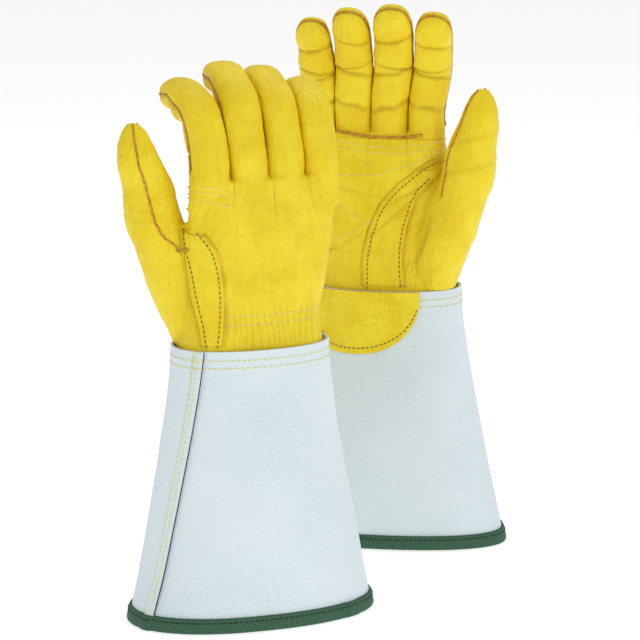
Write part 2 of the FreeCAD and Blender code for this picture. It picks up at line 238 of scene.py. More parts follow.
THUMB_SECTIONS = (
    (190.0, 28.5, -8.0, 19.0, 15.5),
    (205.0, 33.0, -10.0, 20.5, 17.5),
    (230.0, 41.5, -13.5, 22.5, 18.5),
    (258.0, 51.0, -17.0, 21.0, 16.5),
    (288.0, 60.5, -20.5, 18.8, 14.5),
    (310.0, 65.5, -23.0, 16.0, 12.3),
    (324.0, 68.0, -25.0, 12.5, 9.6),
    (333.0, 69.0, -26.0, 8.5, 6.8),
    (338.5, 69.5, -26.5, 4.0, 3.5),
)
HAND_SECTIONS = (
    (183.0, -4.0, 0.0, 50.0, 28.0),
    (191.0, -4.0, 0.0, 50.0, 28.0),
    (198.0, -4.5, 0.0, 48.0, 26.5),
    (208.0, -5.0, 0.0, 46.5, 25.0),
    (235.0, -8.0, 1.0, 48.5, 24.0),
    (270.0, -11.0, 1.5, 51.0, 20.5),
    (290.0, -13.0, 2.0, 52.2, 16.5),
    (302.0, -14.2, 2.0, 52.8, 13.5),
)


def smooth01(t):
    t = np.clip(t, 0.0, 1.0)
    return t * t * (3 - 2 * t)


def apart_share(z):
    """How far the finger columns are drawn apart at height z in the flat layout."""
    return smooth01((z - 262.0) / 38.0)


def apart_shift(x):
    """How far a point of the flat layout is moved sideways by drawing the columns apart."""
    xs, shifts = [], []
    for k in range(4):
        shift = (k - 1.5) * APART
        xs += [COLUMNS[k] + shift + 0.35, COLUMNS[k + 1] + shift - 0.35]
        shifts += [shift, shift]
    return np.interp(x, xs, shifts)


def oval(count, roundness):
    """Unit superellipse points, evenly spread in angle."""
    a = np.linspace(0, 2 * math.pi, count, endpoint=False)
    c, s = np.cos(a), np.sin(a)
    return np.sign(c) * abs(c) ** (2 / roundness), np.sign(s) * abs(s) ** (2 / roundness)


def tube_mesh(sections, roundness, twist_deg=0.0, count=48):
    """Closed tube through level sections (z, centre x, centre y, half width, half depth)."""
    ox, oy = oval(count, roundness)
    t = math.radians(twist_deg)
    verts, faces = [], []
    for i, (z, cx, cy, hx, hy) in enumerate(sections):
        x, y = ox * hx, oy * hy
        for a, b in zip(x, y):
            verts.append((cx + a * math.cos(t) - b * math.sin(t), cy + a * math.sin(t) + b * math.cos(t), z))
        if i:
            base = (i - 1) * count
            for j in range(count):
                after = (j + 1) % count
                faces.append((base + j, base + after, base + count + after, base + count + j))
    faces.append(tuple(range(count - 1, -1, -1)))
    faces.append(tuple(range((len(sections) - 1) * count, len(sections) * count)))
    return verts, faces


def fused(tubes, voxel):
    """One closed skin round several overlapping tubes, as arrays of vertices and quads."""
    verts, faces = [], []
    for v, f in tubes:
        base = len(verts)
        verts += v
        faces += [tuple(base + i for i in face) for face in f]
    mesh = bpy.data.meshes.new("fused")
    mesh.from_pydata(verts, [], faces)
    obj = bpy.data.objects.new("fused", mesh)
    bpy.context.scene.collection.objects.link(obj)
    remesh = obj.modifiers.new("fuse", "REMESH")
    remesh.mode = "VOXEL"
    remesh.voxel_size = voxel
    out = obj.evaluated_get(bpy.context.evaluated_depsgraph_get()).to_mesh()
    v = np.zeros(len(out.vertices) * 3)
    out.vertices.foreach_get("co", v)
    q = np.zeros(len(out.loops), int)
    out.loops.foreach_get("vertex_index", q)
    assert len(q) == 4 * len(out.polygons)
    bpy.data.objects.remove(obj)
    return v.reshape(-1, 3), q.reshape(-1, 4)


def edges_of(quads):
    e = np.concatenate([quads[:, [0, 1]], quads[:, [1, 2]], quads[:, [2, 3]], quads[:, [3, 0]]])
    return np.unique(np.sort(e, axis=1), axis=0)


def relaxed(verts, edges, rounds, share=None):
    """Smooths a skin without shrinking it."""
    count = np.zeros(len(verts))
    np.add.at(count, edges[:, 0], 1)
    np.add.at(count, edges[:, 1], 1)
    v = verts.copy()
    for k in range(rounds):
        for factor in (0.6, -0.62):
            total = np.zeros((len(v), 3))
            for a in range(3):
                total[:, a] = np.bincount(edges[:, 0], v[edges[:, 1], a], len(v))
                total[:, a] += np.bincount(edges[:, 1], v[edges[:, 0], a], len(v))
            move = (total / count[:, None] - v) * factor
            v += move if share is None else move * share[:, None]
    return v


def skin_normals(verts, quads):
    """Smooth normals of a quad skin."""
    a, b, c, d = (verts[quads[:, k]] for k in range(4))
    face = np.cross(c - a, d - b)
    n = np.zeros((len(verts), 3))
    for axis in range(3):
        n[:, axis] = sum(np.bincount(quads[:, k], face[:, axis], len(verts)) for k in range(4))
    return n / np.maximum(np.linalg.norm(n, axis=1, keepdims=True), 1e-12)


def column_of(x):
    """Which finger column a flat-layout point belongs to."""
    middles = [(COLUMNS[k + 1] + (k - 1.0) * APART) for k in range(3)]
    return np.searchsorted(middles, x)


def finger_bend(bends, s, length):
    """Lean of a finger, in radians, s millimetres beyond its knuckle."""
    lean = bends[0] * smooth01((s + 10.0) / 22.0)
    lean = lean + bends[1] * smooth01((s / length - 0.32) / 0.20)
    lean = lean + bends[2] * smooth01((s / length - 0.62) / 0.20)
    return np.radians(lean)


def closed_up(glove, p, is_thumb):
    """Takes flat-layout points to where they are on the glove as it stands, in its own frame."""
    out = p.copy()
    out[:, 0] -= apart_share(p[:, 2]) * apart_shift(p[:, 0]) * 1.09
    column = column_of(p[:, 0])
    for k, finger in enumerate(FINGERS):
        length = LENGTH[finger]
        start = CROTCH_Z - KNUCKLE_Z
        stations = np.linspace(start, length + 8, 240)
        lean = finger_bend(glove.bends[finger], stations, length)
        step = stations[1] - stations[0]
        mid = (lean[1:] + lean[:-1]) / 2
        cy = KNUCKLE_Y - np.concatenate([[0], np.cumsum(np.sin(mid)) * step])
        cz = CROTCH_Z + np.concatenate([[0], np.cumsum(np.cos(mid)) * step])
        pick = (column == k) & (p[:, 2] > CROTCH_Z) & ~is_thumb
        s = p[pick, 2] - KNUCKLE_Z
        a = np.interp(s, stations, lean)
        off = p[pick, 1] - KNUCKLE_Y
        out[pick, 1] = np.interp(s, stations, cy) + off * np.cos(a)
        out[pick, 2] = np.interp(s, stations, cz) + off * np.sin(a)
        leaning = glove.drift[finger] * smooth01((s - start) / (length * 0.9))
        out[pick, 0] += leaning * np.clip(s / length, 0, 1)
        out[pick, 0] += glove.fan * smooth01(s / 42.0) * (out[pick, 0] - COLUMNS[0])
    return out


def noise_at(points, scale_mm, seed):
    """Smooth noise from -1 to 1 at each point."""
    shift = Vector((seed, seed * 1.7, seed * 0.6))
    return np.array([noise.noise(Vector(q) / scale_mm + shift) for q in points])


def bump_line(d, width):
    """A soft ridge profile, 1 on the line and 0 beyond its width."""
    return np.exp(-((d / width) ** 2))


def build_skin(glove):
    """The flat layout of one hand, its creases, and its standing shape."""
    hand = []
    for z, cx, cy, hx, hy in HAND_SECTIONS:
        spread = 1.5 * APART * float(apart_share(z))
        hand.append((z, cx, cy, hx + spread, hy))
    tubes = [tube_mesh(hand, 2.6)]
    for k, finger in enumerate(FINGERS):
        half_x = (COLUMNS[k + 1] - COLUMNS[k] - 0.3) / 2
        cx = (COLUMNS[k + 1] + COLUMNS[k]) / 2 + (k - 1.5) * APART
        length, hy = LENGTH[finger], HALF_DEPTH[finger]
        rows = [(282.0, cx, KNUCKLE_Y, half_x - 2.0, hy - 1.0), (300.0, cx, KNUCKLE_Y, half_x, hy + 0.9)]
        rows.append((322.0, cx, KNUCKLE_Y, half_x, hy + 0.3))
        rows.append((KNUCKLE_Z + 0.36 * length, cx, KNUCKLE_Y, half_x, hy - 0.1))
        for s, w, d in TIP_ROUNDING + TIP_END:
            rows.append((KNUCKLE_Z + s * length, cx, KNUCKLE_Y, half_x * w, hy * d))
        tubes.append(tube_mesh(rows, 2.35, count=32))
    thumb = []
    for z, cx, cy, hx, hy in THUMB_SECTIONS:
        thumb.append((z, cx + 1.5 * APART * float(apart_share(z)), cy, hx, hy))
    tubes.append(tube_mesh(thumb, 2.2, -22.0, 40))
    v, q = fused(tubes, SKIN_VOXEL)
    low = v[q][:, :, 2].max(axis=1) < SKIN_FOOT_Z
    q = q[~low]
    used = np.unique(q)
    renumber = np.full(len(v), -1)
    renumber[used] = np.arange(len(used))
    v, q = v[used], renumber[q]
    e = edges_of(q)
    v = relaxed(v, e, 9)
    thumb_crotch = bump_line(v[:, 2] - 270, 16.0) * smooth01((v[:, 0] - 20) / 12)
    web = bump_line(v[:, 2] - CROTCH_Z - 1, 9.0) + thumb_crotch
    v = relaxed(v, e, 14, np.clip(web, 0, 1))
    glove.skin_flat, glove.skin_quads = v, q
    tz = np.array([s[0] for s in thumb])
    tx = np.interp(v[:, 2], tz, [s[1] for s in thumb])
    half = np.interp(v[:, 2], tz, [s[3] for s in thumb])
    glove.is_thumb = (v[:, 2] > 262) & (v[:, 2] < 345) & (v[:, 0] > tx - half - 2.5) & (v[:, 0] > 39)
    return glove


def crease_skin(glove):
    """Slack, folds and gathers pressed into the flat layout, which is then closed up and bent, with painted
    shade marked in their hollows.
    """
    v, q, seed = glove.skin_flat, glove.skin_quads, glove.seed
    n = skin_normals(v, q)
    x, y, z = v.T
    palm, back = smooth01(0.2 - 1.5 * n[:, 1]), smooth01(0.2 + 1.5 * n[:, 1])
    side = smooth01((0.8 - abs(n[:, 1])) * 1.8)
    wavy = noise_at(v, 11.0, seed + 3)
    d = 1.1 * noise_at(v, 36.0, seed) + 0.5 * noise_at(v, 14.0, seed + 5)
    d += 0.22 * noise_at(v * (1.0, 1.0, 2.2), 7.0, seed + 7)
    # Painted shade: how far the leather's colour is darkened and browned, a little at random and most in the
    # pressed-in creases, side seams and pleat hollows.
    fold = 0.12 * np.clip(noise_at(v * (1.0, 1.0, 2.0), 9.0, seed + 8), 0, 1) ** 2
    column = column_of(x)
    thumb = glove.is_thumb
    for k, finger in enumerate(FINGERS):
        length, bends = LENGTH[finger], glove.bends[finger]
        on = (column == k) & (z > CROTCH_Z - 4) & ~thumb
        s = z - KNUCKLE_Z
        u = (x - (COLUMNS[k] + COLUMNS[k + 1]) / 2 - (k - 1.5) * APART) / 13.0
        slant = (2.6, -3.4, 3.8, -2.4)[k]
        for share, bend, lines in ((0.10, bends[0], 1), (0.41, bends[1], 2), (0.70, bends[2], 1)):
            depth = (0.75 + bend / 30.0) * (1.15, 0.8, 1.0, 0.9)[k]
            for line in range(lines):
                at = share * length + (line - (lines - 1) / 2) * 6.5 + slant * u * (1 - 2 * line)
                at = at + 2.6 * wavy + 1.5 * (k % 2)
                reach = np.clip(1 - 0.5 * u * u + 0.4 * wavy, 0.15, 1)
                cut = bump_line(s - at, 1.8 - 0.4 * line) * palm * on * reach
                d -= depth * cut
                fold += 0.5 * cut
            d += 0.9 * depth * bump_line(s - share * length - 10.0, 7.0) * palm * on
            for line in (-1, 0, 1):
                at = share * length + line * 3.4 + 0.9 * wavy - 0.8 * slant * u
                cut = bump_line(s - at, 1.1) * back * on
                d -= 0.12 * cut
                fold += 0.05 * cut
        seam = bump_line(y - KNUCKLE_Y, 1.7) * side * (s > -4) * on
        d -= 0.8 * seam
        fold += 0.5 * seam
    pleat = np.sin(2 * math.pi * (x / 4.6 + 1.1 * noise_at(v * (1.0, 0.2, 0.6), 19.0, seed + 2)))
    gathered = back * smooth01((z - 187.0) / 6.0) * smooth01((227.0 - z) / 20.0) * smooth01((24.0 - x) / 6.0)
    d += 0.42 * pleat * gathered
    fold += 0.16 * gathered * np.clip(-pleat, 0, 1)
    for row in (206.5, 212.5):
        d -= 0.7 * bump_line(z - row, 1.4) * gathered
    for cx, cz, run, rise, reach, depth in (
        (17.0, 262.0, 0.9, 0.55, 15.0, 1.5),
        (4.0, 244.0, 0.75, 0.65, 26.0, 1.0),
        (-30.0, 262.0, 0.97, -0.22, 22.0, 0.8),
        (-34.0, 222.0, 0.85, 0.5, 18.0, 0.8),
        (26.0, 226.0, 0.35, 0.93, 20.0, 0.9),
    ):
        along = (x - cx) * run + (z - cz) * rise
        off = (z - cz) * run - (x - cx) * rise + 1.6 * wavy
        cut = bump_line(off, 1.7) * bump_line(along, reach) * palm * (z < 300)
        d -= depth * cut
        fold += 0.28 * cut
    for cx, cz, run, rise, reach, depth in (
        (-2.0, 262.0, 0.2, 0.98, 30.0, 0.6),
        (-28.0, 250.0, -0.15, 0.99, 34.0, 0.6),
        (12.0, 236.0, 0.45, 0.9, 20.0, 0.7),
        (-14.0, 286.0, 0.98, 0.1, 30.0, 0.6),
    ):
        along = (x - cx) * run + (z - cz) * rise
        off = (z - cz) * run - (x - cx) * rise + 3.0 * wavy
        cut = bump_line(off, 2.8) * bump_line(along, reach) * back * (z < 300)
        d -= depth * cut
        fold += 0.07 * cut
    for at, depth in ((301.0, 0.45), (281.0, 0.6)):
        cut = bump_line(z - at - 0.25 * (x - 60) + 2.5 * wavy, 2.6) * palm * thumb
        d -= depth * cut
        fold += 0.12 * cut
    fade = smooth01((z - 186.0) / 8.0)
    # The painted crease shade fades out towards the wrist, like the creases themselves.
    glove.fold = np.clip(fold, 0, 1) * fade
    glove.flat = v + n * (d * fade)[:, None]
    glove.real = closed_up(glove, glove.flat, thumb)
    glove.normals = skin_normals(glove.real, q)


for g in gloves:
    build_skin(g)
    crease_skin(g)


# =====================================================================================================
# The hand's leather pieces, cut from that skin: back, palm, thumb root, thumb outer and inner, and the
# front and back of each finger. Each is 1.6 mm hide with a pale flesh side.
# =====================================================================================================
flesh_side, tree, shader = new_material("cowhide flesh side, undyed", "D8C08A", 0.85)
nap = node(tree, "ShaderNodeTexNoise", (-700, 0), Scale=900.0, Detail=4.0)
where = node(tree, "ShaderNodeTexCoord", (-900, 0))
tree.links.new(where.outputs["Object"], nap.inputs["Vector"])
tint = colour_ramp(tree, nap.outputs["Fac"], ((0.3, "C7AE76"), (0.7, "E2CE9C")), (-450, 0))
tree.links.new(tint.outputs["Color"], shader.inputs["Base Color"])

THUMB_BEND_FROM = np.array((55.0, -18.6, 272.0))
THUMB_UP = np.array((0.335, -0.12, 0.934))


def bends_with(obj, glove, region):
    """Makes a piece follow the glove: the cuff rigidly, through its body; the others are only baked in place
    and do not bend.
    """
    name = glove.name
    if region == "cuff":
        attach(obj, f"{name}_cuff")
    elif region == "hand":
        glove.spot(-4, 0, 192)
        glove.spot(-4, 0, 222)
        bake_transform(obj)
    elif region == "thumb":
        end = THUMB_BEND_FROM + THUMB_UP * 24
        glove.spot(*THUMB_BEND_FROM)
        glove.spot(*end)
        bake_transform(obj)
    else:
        low, high = glove.spot(0, 0, CROTCH_Z + 0.8), glove.spot(0, 0, CROTCH_Z + 21)
        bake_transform(obj)


def region_of(p, is_thumb):
    """Which body's cloth each flat-layout point belongs to."""
    names = np.array(FINGERS)[column_of(p[:, 0])].astype(object)
    names[p[:, 2] <= CROTCH_Z] = "hand"
    names[is_thumb] = "hand"
    beyond = (p - THUMB_BEND_FROM - (1.5 * APART, 0, 0)) @ THUMB_UP > 0
    names[is_thumb & beyond] = "thumb"
    return names


def mesh_object(name, verts, faces, materials, face_material=None):
    """A new smooth-shaded mesh object in the scene."""
    mesh = bpy.data.meshes.new(name)
    mesh.from_pydata(np.asarray(verts).tolist(), [], [tuple(f) for f in np.asarray(faces, object).tolist()])
    for m in materials:
        mesh.materials.append(m)
    if face_material is not None:
        mesh.polygons.foreach_set("material_index", np.asarray(face_material, np.int32))
    mesh.polygons.foreach_set("use_smooth", np.ones(len(mesh.polygons), bool))
    obj = bpy.data.objects.new(name, mesh)
    bpy.context.scene.collection.objects.link(obj)
    return obj


def store(obj, name, values):
    """Keeps one value or vector per vertex for the finishes to read."""
    values = np.asarray(values, np.float32)
    kind, field = ("FLOAT_VECTOR", "vector") if values.ndim == 2 else ("FLOAT", "value")
    obj.data.attributes.new(name, kind, "POINT").data.foreach_set(field, values.ravel())


def closed_sheet(name, glove, top, bottom, normals, faces, materials, rest, fold):
    """A closed leather piece from its outer and inner skins, shaded as part of the whole skin."""
    count = len(top)
    corners = [faces[:, [k, (k + 1) % 4]] for k in range(4)]
    directed = np.concatenate(corners)
    key = directed.min(axis=1) * count + directed.max(axis=1)
    _, index, times = np.unique(key, return_index=True, return_counts=True)
    a, b = directed[index[times == 1]].T
    rim = np.stack([b, a, a + count, b + count], axis=1)
    every = np.concatenate([faces, faces[:, ::-1] + count, rim])
    rim_kind = min(2, len(materials) - 1)
    kind = np.concatenate([np.zeros(len(faces)), np.ones(len(faces)), np.full(len(rim), rim_kind)])
    verts = glove.row(np.concatenate([top, bottom]))
    obj = mesh_object(name, verts, every, materials, kind)
    turned = normals @ glove.turn.T
    flat = np.cross(verts[rim[:, 2]] - verts[rim[:, 0]], verts[rim[:, 3]] - verts[rim[:, 1]])
    flat /= np.maximum(np.linalg.norm(flat, axis=1, keepdims=True), 1e-12)
    outer, inner = turned[faces].reshape(-1, 3), -turned[faces[:, ::-1]].reshape(-1, 3)
    corner = np.concatenate([outer, inner, np.repeat(flat, 4, axis=0)])
    obj.data.normals_split_custom_set(corner.tolist())
    store(obj, "rest", np.concatenate([rest, rest]) / 1000)
    # Painted crease shade, read by the leather finish to darken its colour.
    store(obj, "fold", np.concatenate([fold, fold]))
    return obj


def thumb_angle(p):
    """Direction of a point from the thumb's middle line, in degrees."""
    z = [s[0] for s in THUMB_SECTIONS]
    cx = np.interp(p[:, 2], z, [s[1] + 1.5 * APART * float(apart_share(s[0])) for s in THUMB_SECTIONS])
    cy = np.interp(p[:, 2], z, [s[2] for s in THUMB_SECTIONS])
    return np.degrees(np.arctan2(p[:, 1] - cy, p[:, 0] - cx)) % 360


for g in gloves:
    centre = g.skin_flat[g.skin_quads].mean(axis=1)
    on_thumb = g.is_thumb[g.skin_quads].all(axis=1)
    region = region_of(centre, on_thumb)
    mid_y = np.interp(centre[:, 2], [h[0] for h in HAND_SECTIONS], [h[2] for h in HAND_SECTIONS])
    tz = [t[0] for t in THUMB_SECTIONS]
    near_thumb = abs(centre[:, 0] - np.interp(centre[:, 2], tz, [t[1] for t in THUMB_SECTIONS])) < 18
    thumb_front = np.interp(centre[:, 2], tz, [t[2] + 4 for t in THUMB_SECTIONS])
    near_thumb &= (centre[:, 1] < thumb_front) | (centre[:, 0] > 44)
    angle = thumb_angle(centre)
    label = np.where(centre[:, 1] > mid_y, "back_panel", "palm_panel").astype(object)
    label[(region == "hand") & (near_thumb | on_thumb)] = "thumb_root"
    thumb_label = np.where((angle > 72) & (angle < 205), "thumb_inner", "thumb_outer")
    label[region == "thumb"] = thumb_label[region == "thumb"]
    for finger in FINGERS:
        pick = region == finger
        label[pick] = np.where(centre[pick, 1] > KNUCKLE_Y, f"{finger}_finger_back", f"{finger}_finger_front")
    for piece in sorted(set(label)):
        pick = label == piece
        used, where_used = np.unique(g.skin_quads[pick], return_inverse=True)
        top, normals = g.real[used], g.normals[used]
        thickness = 1.6
        obj = closed_sheet(
            f"{g.name}_{piece}_leather",
            g,
            top,
            top - normals * thickness,
            normals,
            where_used.reshape(-1, 4),
            [hand_leather, flesh_side],
            g.skin_flat[used],
            g.fold[used],
        )
        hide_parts(f"{g.name}_{piece}")
        bends_with(obj, g, region[pick][0])


# =====================================================================================================
# Lines and patches laid on the skin. A line is given in the flat layout, dropped onto the leather, and
# carried to where that spot of leather is on the standing glove.
# =====================================================================================================
def prepare_lookup(glove):
    q = glove.skin_quads
    glove.tri = np.concatenate([q[:, [0, 1, 2]], q[:, [0, 2, 3]]])
    glove.tree = BVHTree.FromPolygons(glove.flat.tolist(), glove.tri.tolist())


def drawn_apart(x, z):
    """The flat layout's x for a spot of the closed-up glove."""
    xs, shifts = [], []
    for k in range(4):
        xs += [COLUMNS[k] + 0.35, COLUMNS[k + 1] - 0.35]
        shifts += [(k - 1.5) * APART] * 2
    return x + apart_share(z) * np.interp(x, xs, shifts)


class Laid:
    """Spots of the skin: where they are on the glove, which way is out, and their flat-layout place."""

    def __init__(self, glove, p, how):
        tree = glove.tree
        spots, faces = [], []
        for x, y, z in p:
            if how == "nearest":
                hit, _, face, _ = tree.find_nearest((x, y, z))
            else:
                way = 1 if how == "palm" else -1
                hit, _, face, _ = tree.ray_cast((x, -90 * way, z), (0, way, 0))
                if hit is None:
                    hit, _, face, _ = tree.find_nearest((x, -20 * way, z))
            spots.append(hit)
            faces.append(face)
        hit, corner = np.array(spots), glove.tri[faces]
        a, b, c = (glove.flat[corner[:, k]] for k in range(3))
        area = np.cross(b - a, c - a)
        size = np.maximum((area**2).sum(axis=1), 1e-12)
        wb = (np.cross(hit - a, c - a) * area).sum(axis=1) / size
        wc = (np.cross(b - a, hit - a) * area).sum(axis=1) / size
        w = np.stack([1 - wb - wc, wb, wc], axis=1)[:, :, None]
        self.real = (glove.real[corner] * w).sum(axis=1)
        n = (glove.normals[corner] * w).sum(axis=1)
        self.normals = n / np.linalg.norm(n, axis=1, keepdims=True)
        self.flat = (glove.skin_flat[corner] * w).sum(axis=1)
        # The painted crease shade at each spot.
        self.fold = (glove.fold[corner] * w[:, :, 0]).sum(axis=1)
        self.region = region_of(self.flat, glove.is_thumb[corner].all(axis=1))


def smooth_line(points, step=1.3):
    """A smooth line through the given points, in even steps."""
    p = np.asarray(points, float)
    p = np.concatenate([[2 * p[0] - p[1]], p, [2 * p[-1] - p[-2]]])
    out = []
    for i in range(1, len(p) - 2):
        a, b, c, d = p[i - 1 : i + 3]
        for t in np.linspace(0, 1, 24, endpoint=False):
            bend_so_far = 2 * b + (c - a) * t + (2 * a - 5 * b + 4 * c - d) * t**2
            out.append(0.5 * (bend_so_far + (3 * b - a - 3 * c + d) * t**3))
    out = np.array([*out, p[-2]])
    run = np.concatenate([[0], np.cumsum(np.linalg.norm(np.diff(out, axis=0), axis=1))])
    even = np.linspace(0, run[-1], max(3, int(run[-1] / step) + 1))
    return np.stack([np.interp(even, run, out[:, k]) for k in range(out.shape[1])], axis=1)


def across(points, normals):
    """The sideways direction of a line lying on leather, to the right as seen from outside."""
    along = np.gradient(points, axis=0)
    side = np.cross(along, normals)
    return side / np.maximum(np.linalg.norm(side, axis=1, keepdims=True), 1e-9)


def bead(points, normals, width, height, sunk=0.35):
    """A raised leather edge or cord along a line: a closed strip with a rounded top."""
    side = across(points, normals)
    half = width / 2
    shoulder, flat_top = height * 0.55, half * 0.55
    profile = ((-half, -sunk), (-half, shoulder), (-flat_top, height))
    profile += ((flat_top, height), (half, shoulder), (half, -sunk))
    ring = len(profile)
    verts = np.stack([points + side * s + normals * u for s, u in profile], axis=1).reshape(-1, 3)
    faces = []
    for i in range(len(points) - 1):
        for j in range(ring):
            a, b = i * ring + j, i * ring + (j + 1) % ring
            faces.append((a, a + ring, b + ring, b))
    last = (len(points) - 1) * ring
    faces.append((0, 1, 2, 5))
    faces.append((2, 3, 4, 5))
    faces.append((last + 5, last + 2, last + 1, last))
    faces.append((last + 5, last + 4, last + 3, last + 2))
    return verts, faces


def by_region(laid):
    """Cuts a laid line where it passes from one body's cloth to the next."""
    runs, start = [], 0
    for i in range(1, len(laid.region) + 1):
        if i == len(laid.region) or laid.region[i] != laid.region[start]:
            pick = slice(start, min(i + 1, len(laid.region)))
            if laid.real[pick].shape[0] > 2:
                runs.append((laid.region[start], laid.real[pick], laid.normals[pick]))
            start = i
    return runs


def bead_object(name, glove, region, lines, width, height, material):
    """One object holding the raised edges along several lines of one region."""
    verts, faces = [], []
    for points, normals in lines:
        v, f = bead(points, normals, width, height)
        faces += [tuple(i + sum(len(x) for x in verts) for i in face) for face in f]
        verts.append(v)
    rows = np.concatenate(verts)
    obj = mesh_object(name, glove.row(rows), faces, [material])
    store(obj, "rest", rows / 1000)
    bends_with(obj, glove, region)
    return obj


raw_edge, tree, shader = new_material("cut edge of dyed hide", "D98E1C", 0.7)
rest = node(tree, "ShaderNodeAttribute", (-900, 0), attribute_name="rest")
spot = {"Vector": rest.outputs["Vector"]}
fleck = node(tree, "ShaderNodeTexNoise", (-700, 0), spot, Scale=420.0, Detail=5.0)
orange_steps = ((0.3, "9C6A12"), (0.52, "C8921A"), (0.75, "E6BA38"))
tint = colour_ramp(tree, fleck.outputs["Fac"], orange_steps, (-450, 0))
tree.links.new(tint.outputs["Color"], shader.inputs["Base Color"])
raised = {"Height": fleck.outputs["Fac"]}
bump = node(tree, "ShaderNodeBump", (-300, -250), raised, Strength=0.5, Distance=0.0003)
tree.links.new(bump.outputs["Normal"], shader.inputs["Normal"])


# Painted shade: the strap's rolled edges are the same yellow hide as the hand, coloured a darker yellow for
# the shade that lies along them.
shaded_rolled_edge = grain_leather("yellow cowhide, rolled edge", "E9CC22", "D2AC12", "8C5E08", 0.9, 0.3)


# =====================================================================================================
# Stitching. Every row is the same made-up piece: a thread loop set at an even pitch along the seam line
# by Geometry Nodes, lying flat on the leather, each with a little of the hand-guided machine's wander.
# =====================================================================================================
def thread_finish(name, colour, dark):
    m, t, shader = new_material(name, colour, 0.6)
    where = node(t, "ShaderNodeTexCoord", (-900, 0))
    spot = {"Vector": where.outputs["Object"]}
    twist = node(t, "ShaderNodeTexNoise", (-650, 0), spot, Scale=1500.0, Detail=2.0)
    tint = colour_ramp(t, twist.outputs["Fac"], ((0.3, dark), (0.55, colour)), (-400, 0))
    t.links.new(tint.outputs["Color"], shader.inputs["Base Color"])
    return m


pale_thread = thread_finish("polyester thread, pale yellow", "EFE98C", "CFC65E")
dark_thread = thread_finish("polyester thread, dark green", "12281C", "081209")
hand_thread = thread_finish("bonded thread, straw yellow", "F6EC9A", "D2BE50")
# Painted shadow: the strap and pulse-patch stitches are coloured dark olive for the shadow in the holes they
# sink into.
shadowed_strap_thread = thread_finish("bonded thread, olive", "8F7E2C", "4A3F12")

stitch_tree = bpy.data.node_groups.new("Stitch rows", "GeometryNodeTree")
face_in = stitch_tree.interface
face_in.new_socket("Seam lines", in_out="INPUT", socket_type="NodeSocketGeometry")
for label, default in (("Pitch", 0.0031), ("Length", 0.0023), ("Thickness", 0.0008)):
    face_in.new_socket(label, in_out="INPUT", socket_type="NodeSocketFloat").default_value = default
face_in.new_socket("Thread", in_out="INPUT", socket_type="NodeSocketMaterial")
face_in.new_socket("Stitches", in_out="OUTPUT", socket_type="NodeSocketGeometry")
given = node(stitch_tree, "NodeGroupInput", (-1200, 0))
line = node(stitch_tree, "GeometryNodeMeshToCurve", (-1000, 0), {"Mesh": given.outputs["Seam lines"]})
line_and_pitch = {"Curve": line.outputs["Curve"], "Length": given.outputs["Pitch"]}
even = node(stitch_tree, "GeometryNodeResampleCurve", (-800, 0), line_and_pitch, mode="LENGTH")
along = node(stitch_tree, "GeometryNodeInputTangent", (-800, -300))
outward = node(
    stitch_tree, "GeometryNodeInputNamedAttribute", (-800, -450), data_type="FLOAT_VECTOR", Name="up"
)
run_of_seam = {"Vector": along.outputs["Tangent"]}
aimed = node(stitch_tree, "FunctionNodeAlignRotationToVector", (-600, -300), run_of_seam, axis="X")
upright = node(
    stitch_tree,
    "FunctionNodeAlignRotationToVector",
    (-400, -300),
    {"Rotation": aimed.outputs["Rotation"], "Vector": outward.outputs["Attribute"]},
    axis="Z",
    pivot_axis="X",
)
wander = node(stitch_tree, "FunctionNodeRandomValue", (-600, -600), data_type="FLOAT", Seed=7)
wander.inputs[2].default_value, wander.inputs[3].default_value = -0.09, 0.09
turn = node(stitch_tree, "ShaderNodeCombineXYZ", (-400, -600), {"Z": wander.outputs[1]})
upright_and_turn = {"Rotation": upright.outputs["Rotation"], "Rotate By": turn.outputs["Vector"]}
turned = node(
    stitch_tree, "FunctionNodeRotateRotation", (-200, -400), upright_and_turn, rotation_space="LOCAL"
)
loop = node(stitch_tree, "GeometryNodeMeshUVSphere", (-600, 300), Segments=8, Rings=5, Radius=0.5)
loop_size = node(stitch_tree, "ShaderNodeCombineXYZ", (-600, 100))
for axis, label in (("X", "Length"), ("Y", "Thickness"), ("Z", "Thickness")):
    stitch_tree.links.new(given.outputs[label], loop_size.inputs[axis])
loops_on_line = {
    "Points": even.outputs["Curve"],
    "Instance": loop.outputs["Mesh"],
    "Rotation": turned.outputs["Rotation"],
    "Scale": loop_size.outputs["Vector"],
}
placed = node(stitch_tree, "GeometryNodeInstanceOnPoints", (0, 0), loops_on_line)
whole = node(stitch_tree, "GeometryNodeRealizeInstances", (200, 0), {"Geometry": placed.outputs["Instances"]})
soft = node(stitch_tree, "GeometryNodeSetShadeSmooth", (400, 0), {"Geometry": whole.outputs["Geometry"]})
loops_and_thread = {"Geometry": soft.outputs["Geometry"], "Material": given.outputs["Thread"]}
dyed = node(stitch_tree, "GeometryNodeSetMaterial", (600, 0), loops_and_thread)
node(stitch_tree, "NodeGroupOutput", (800, 0), {"Stitches": dyed.outputs["Geometry"]})


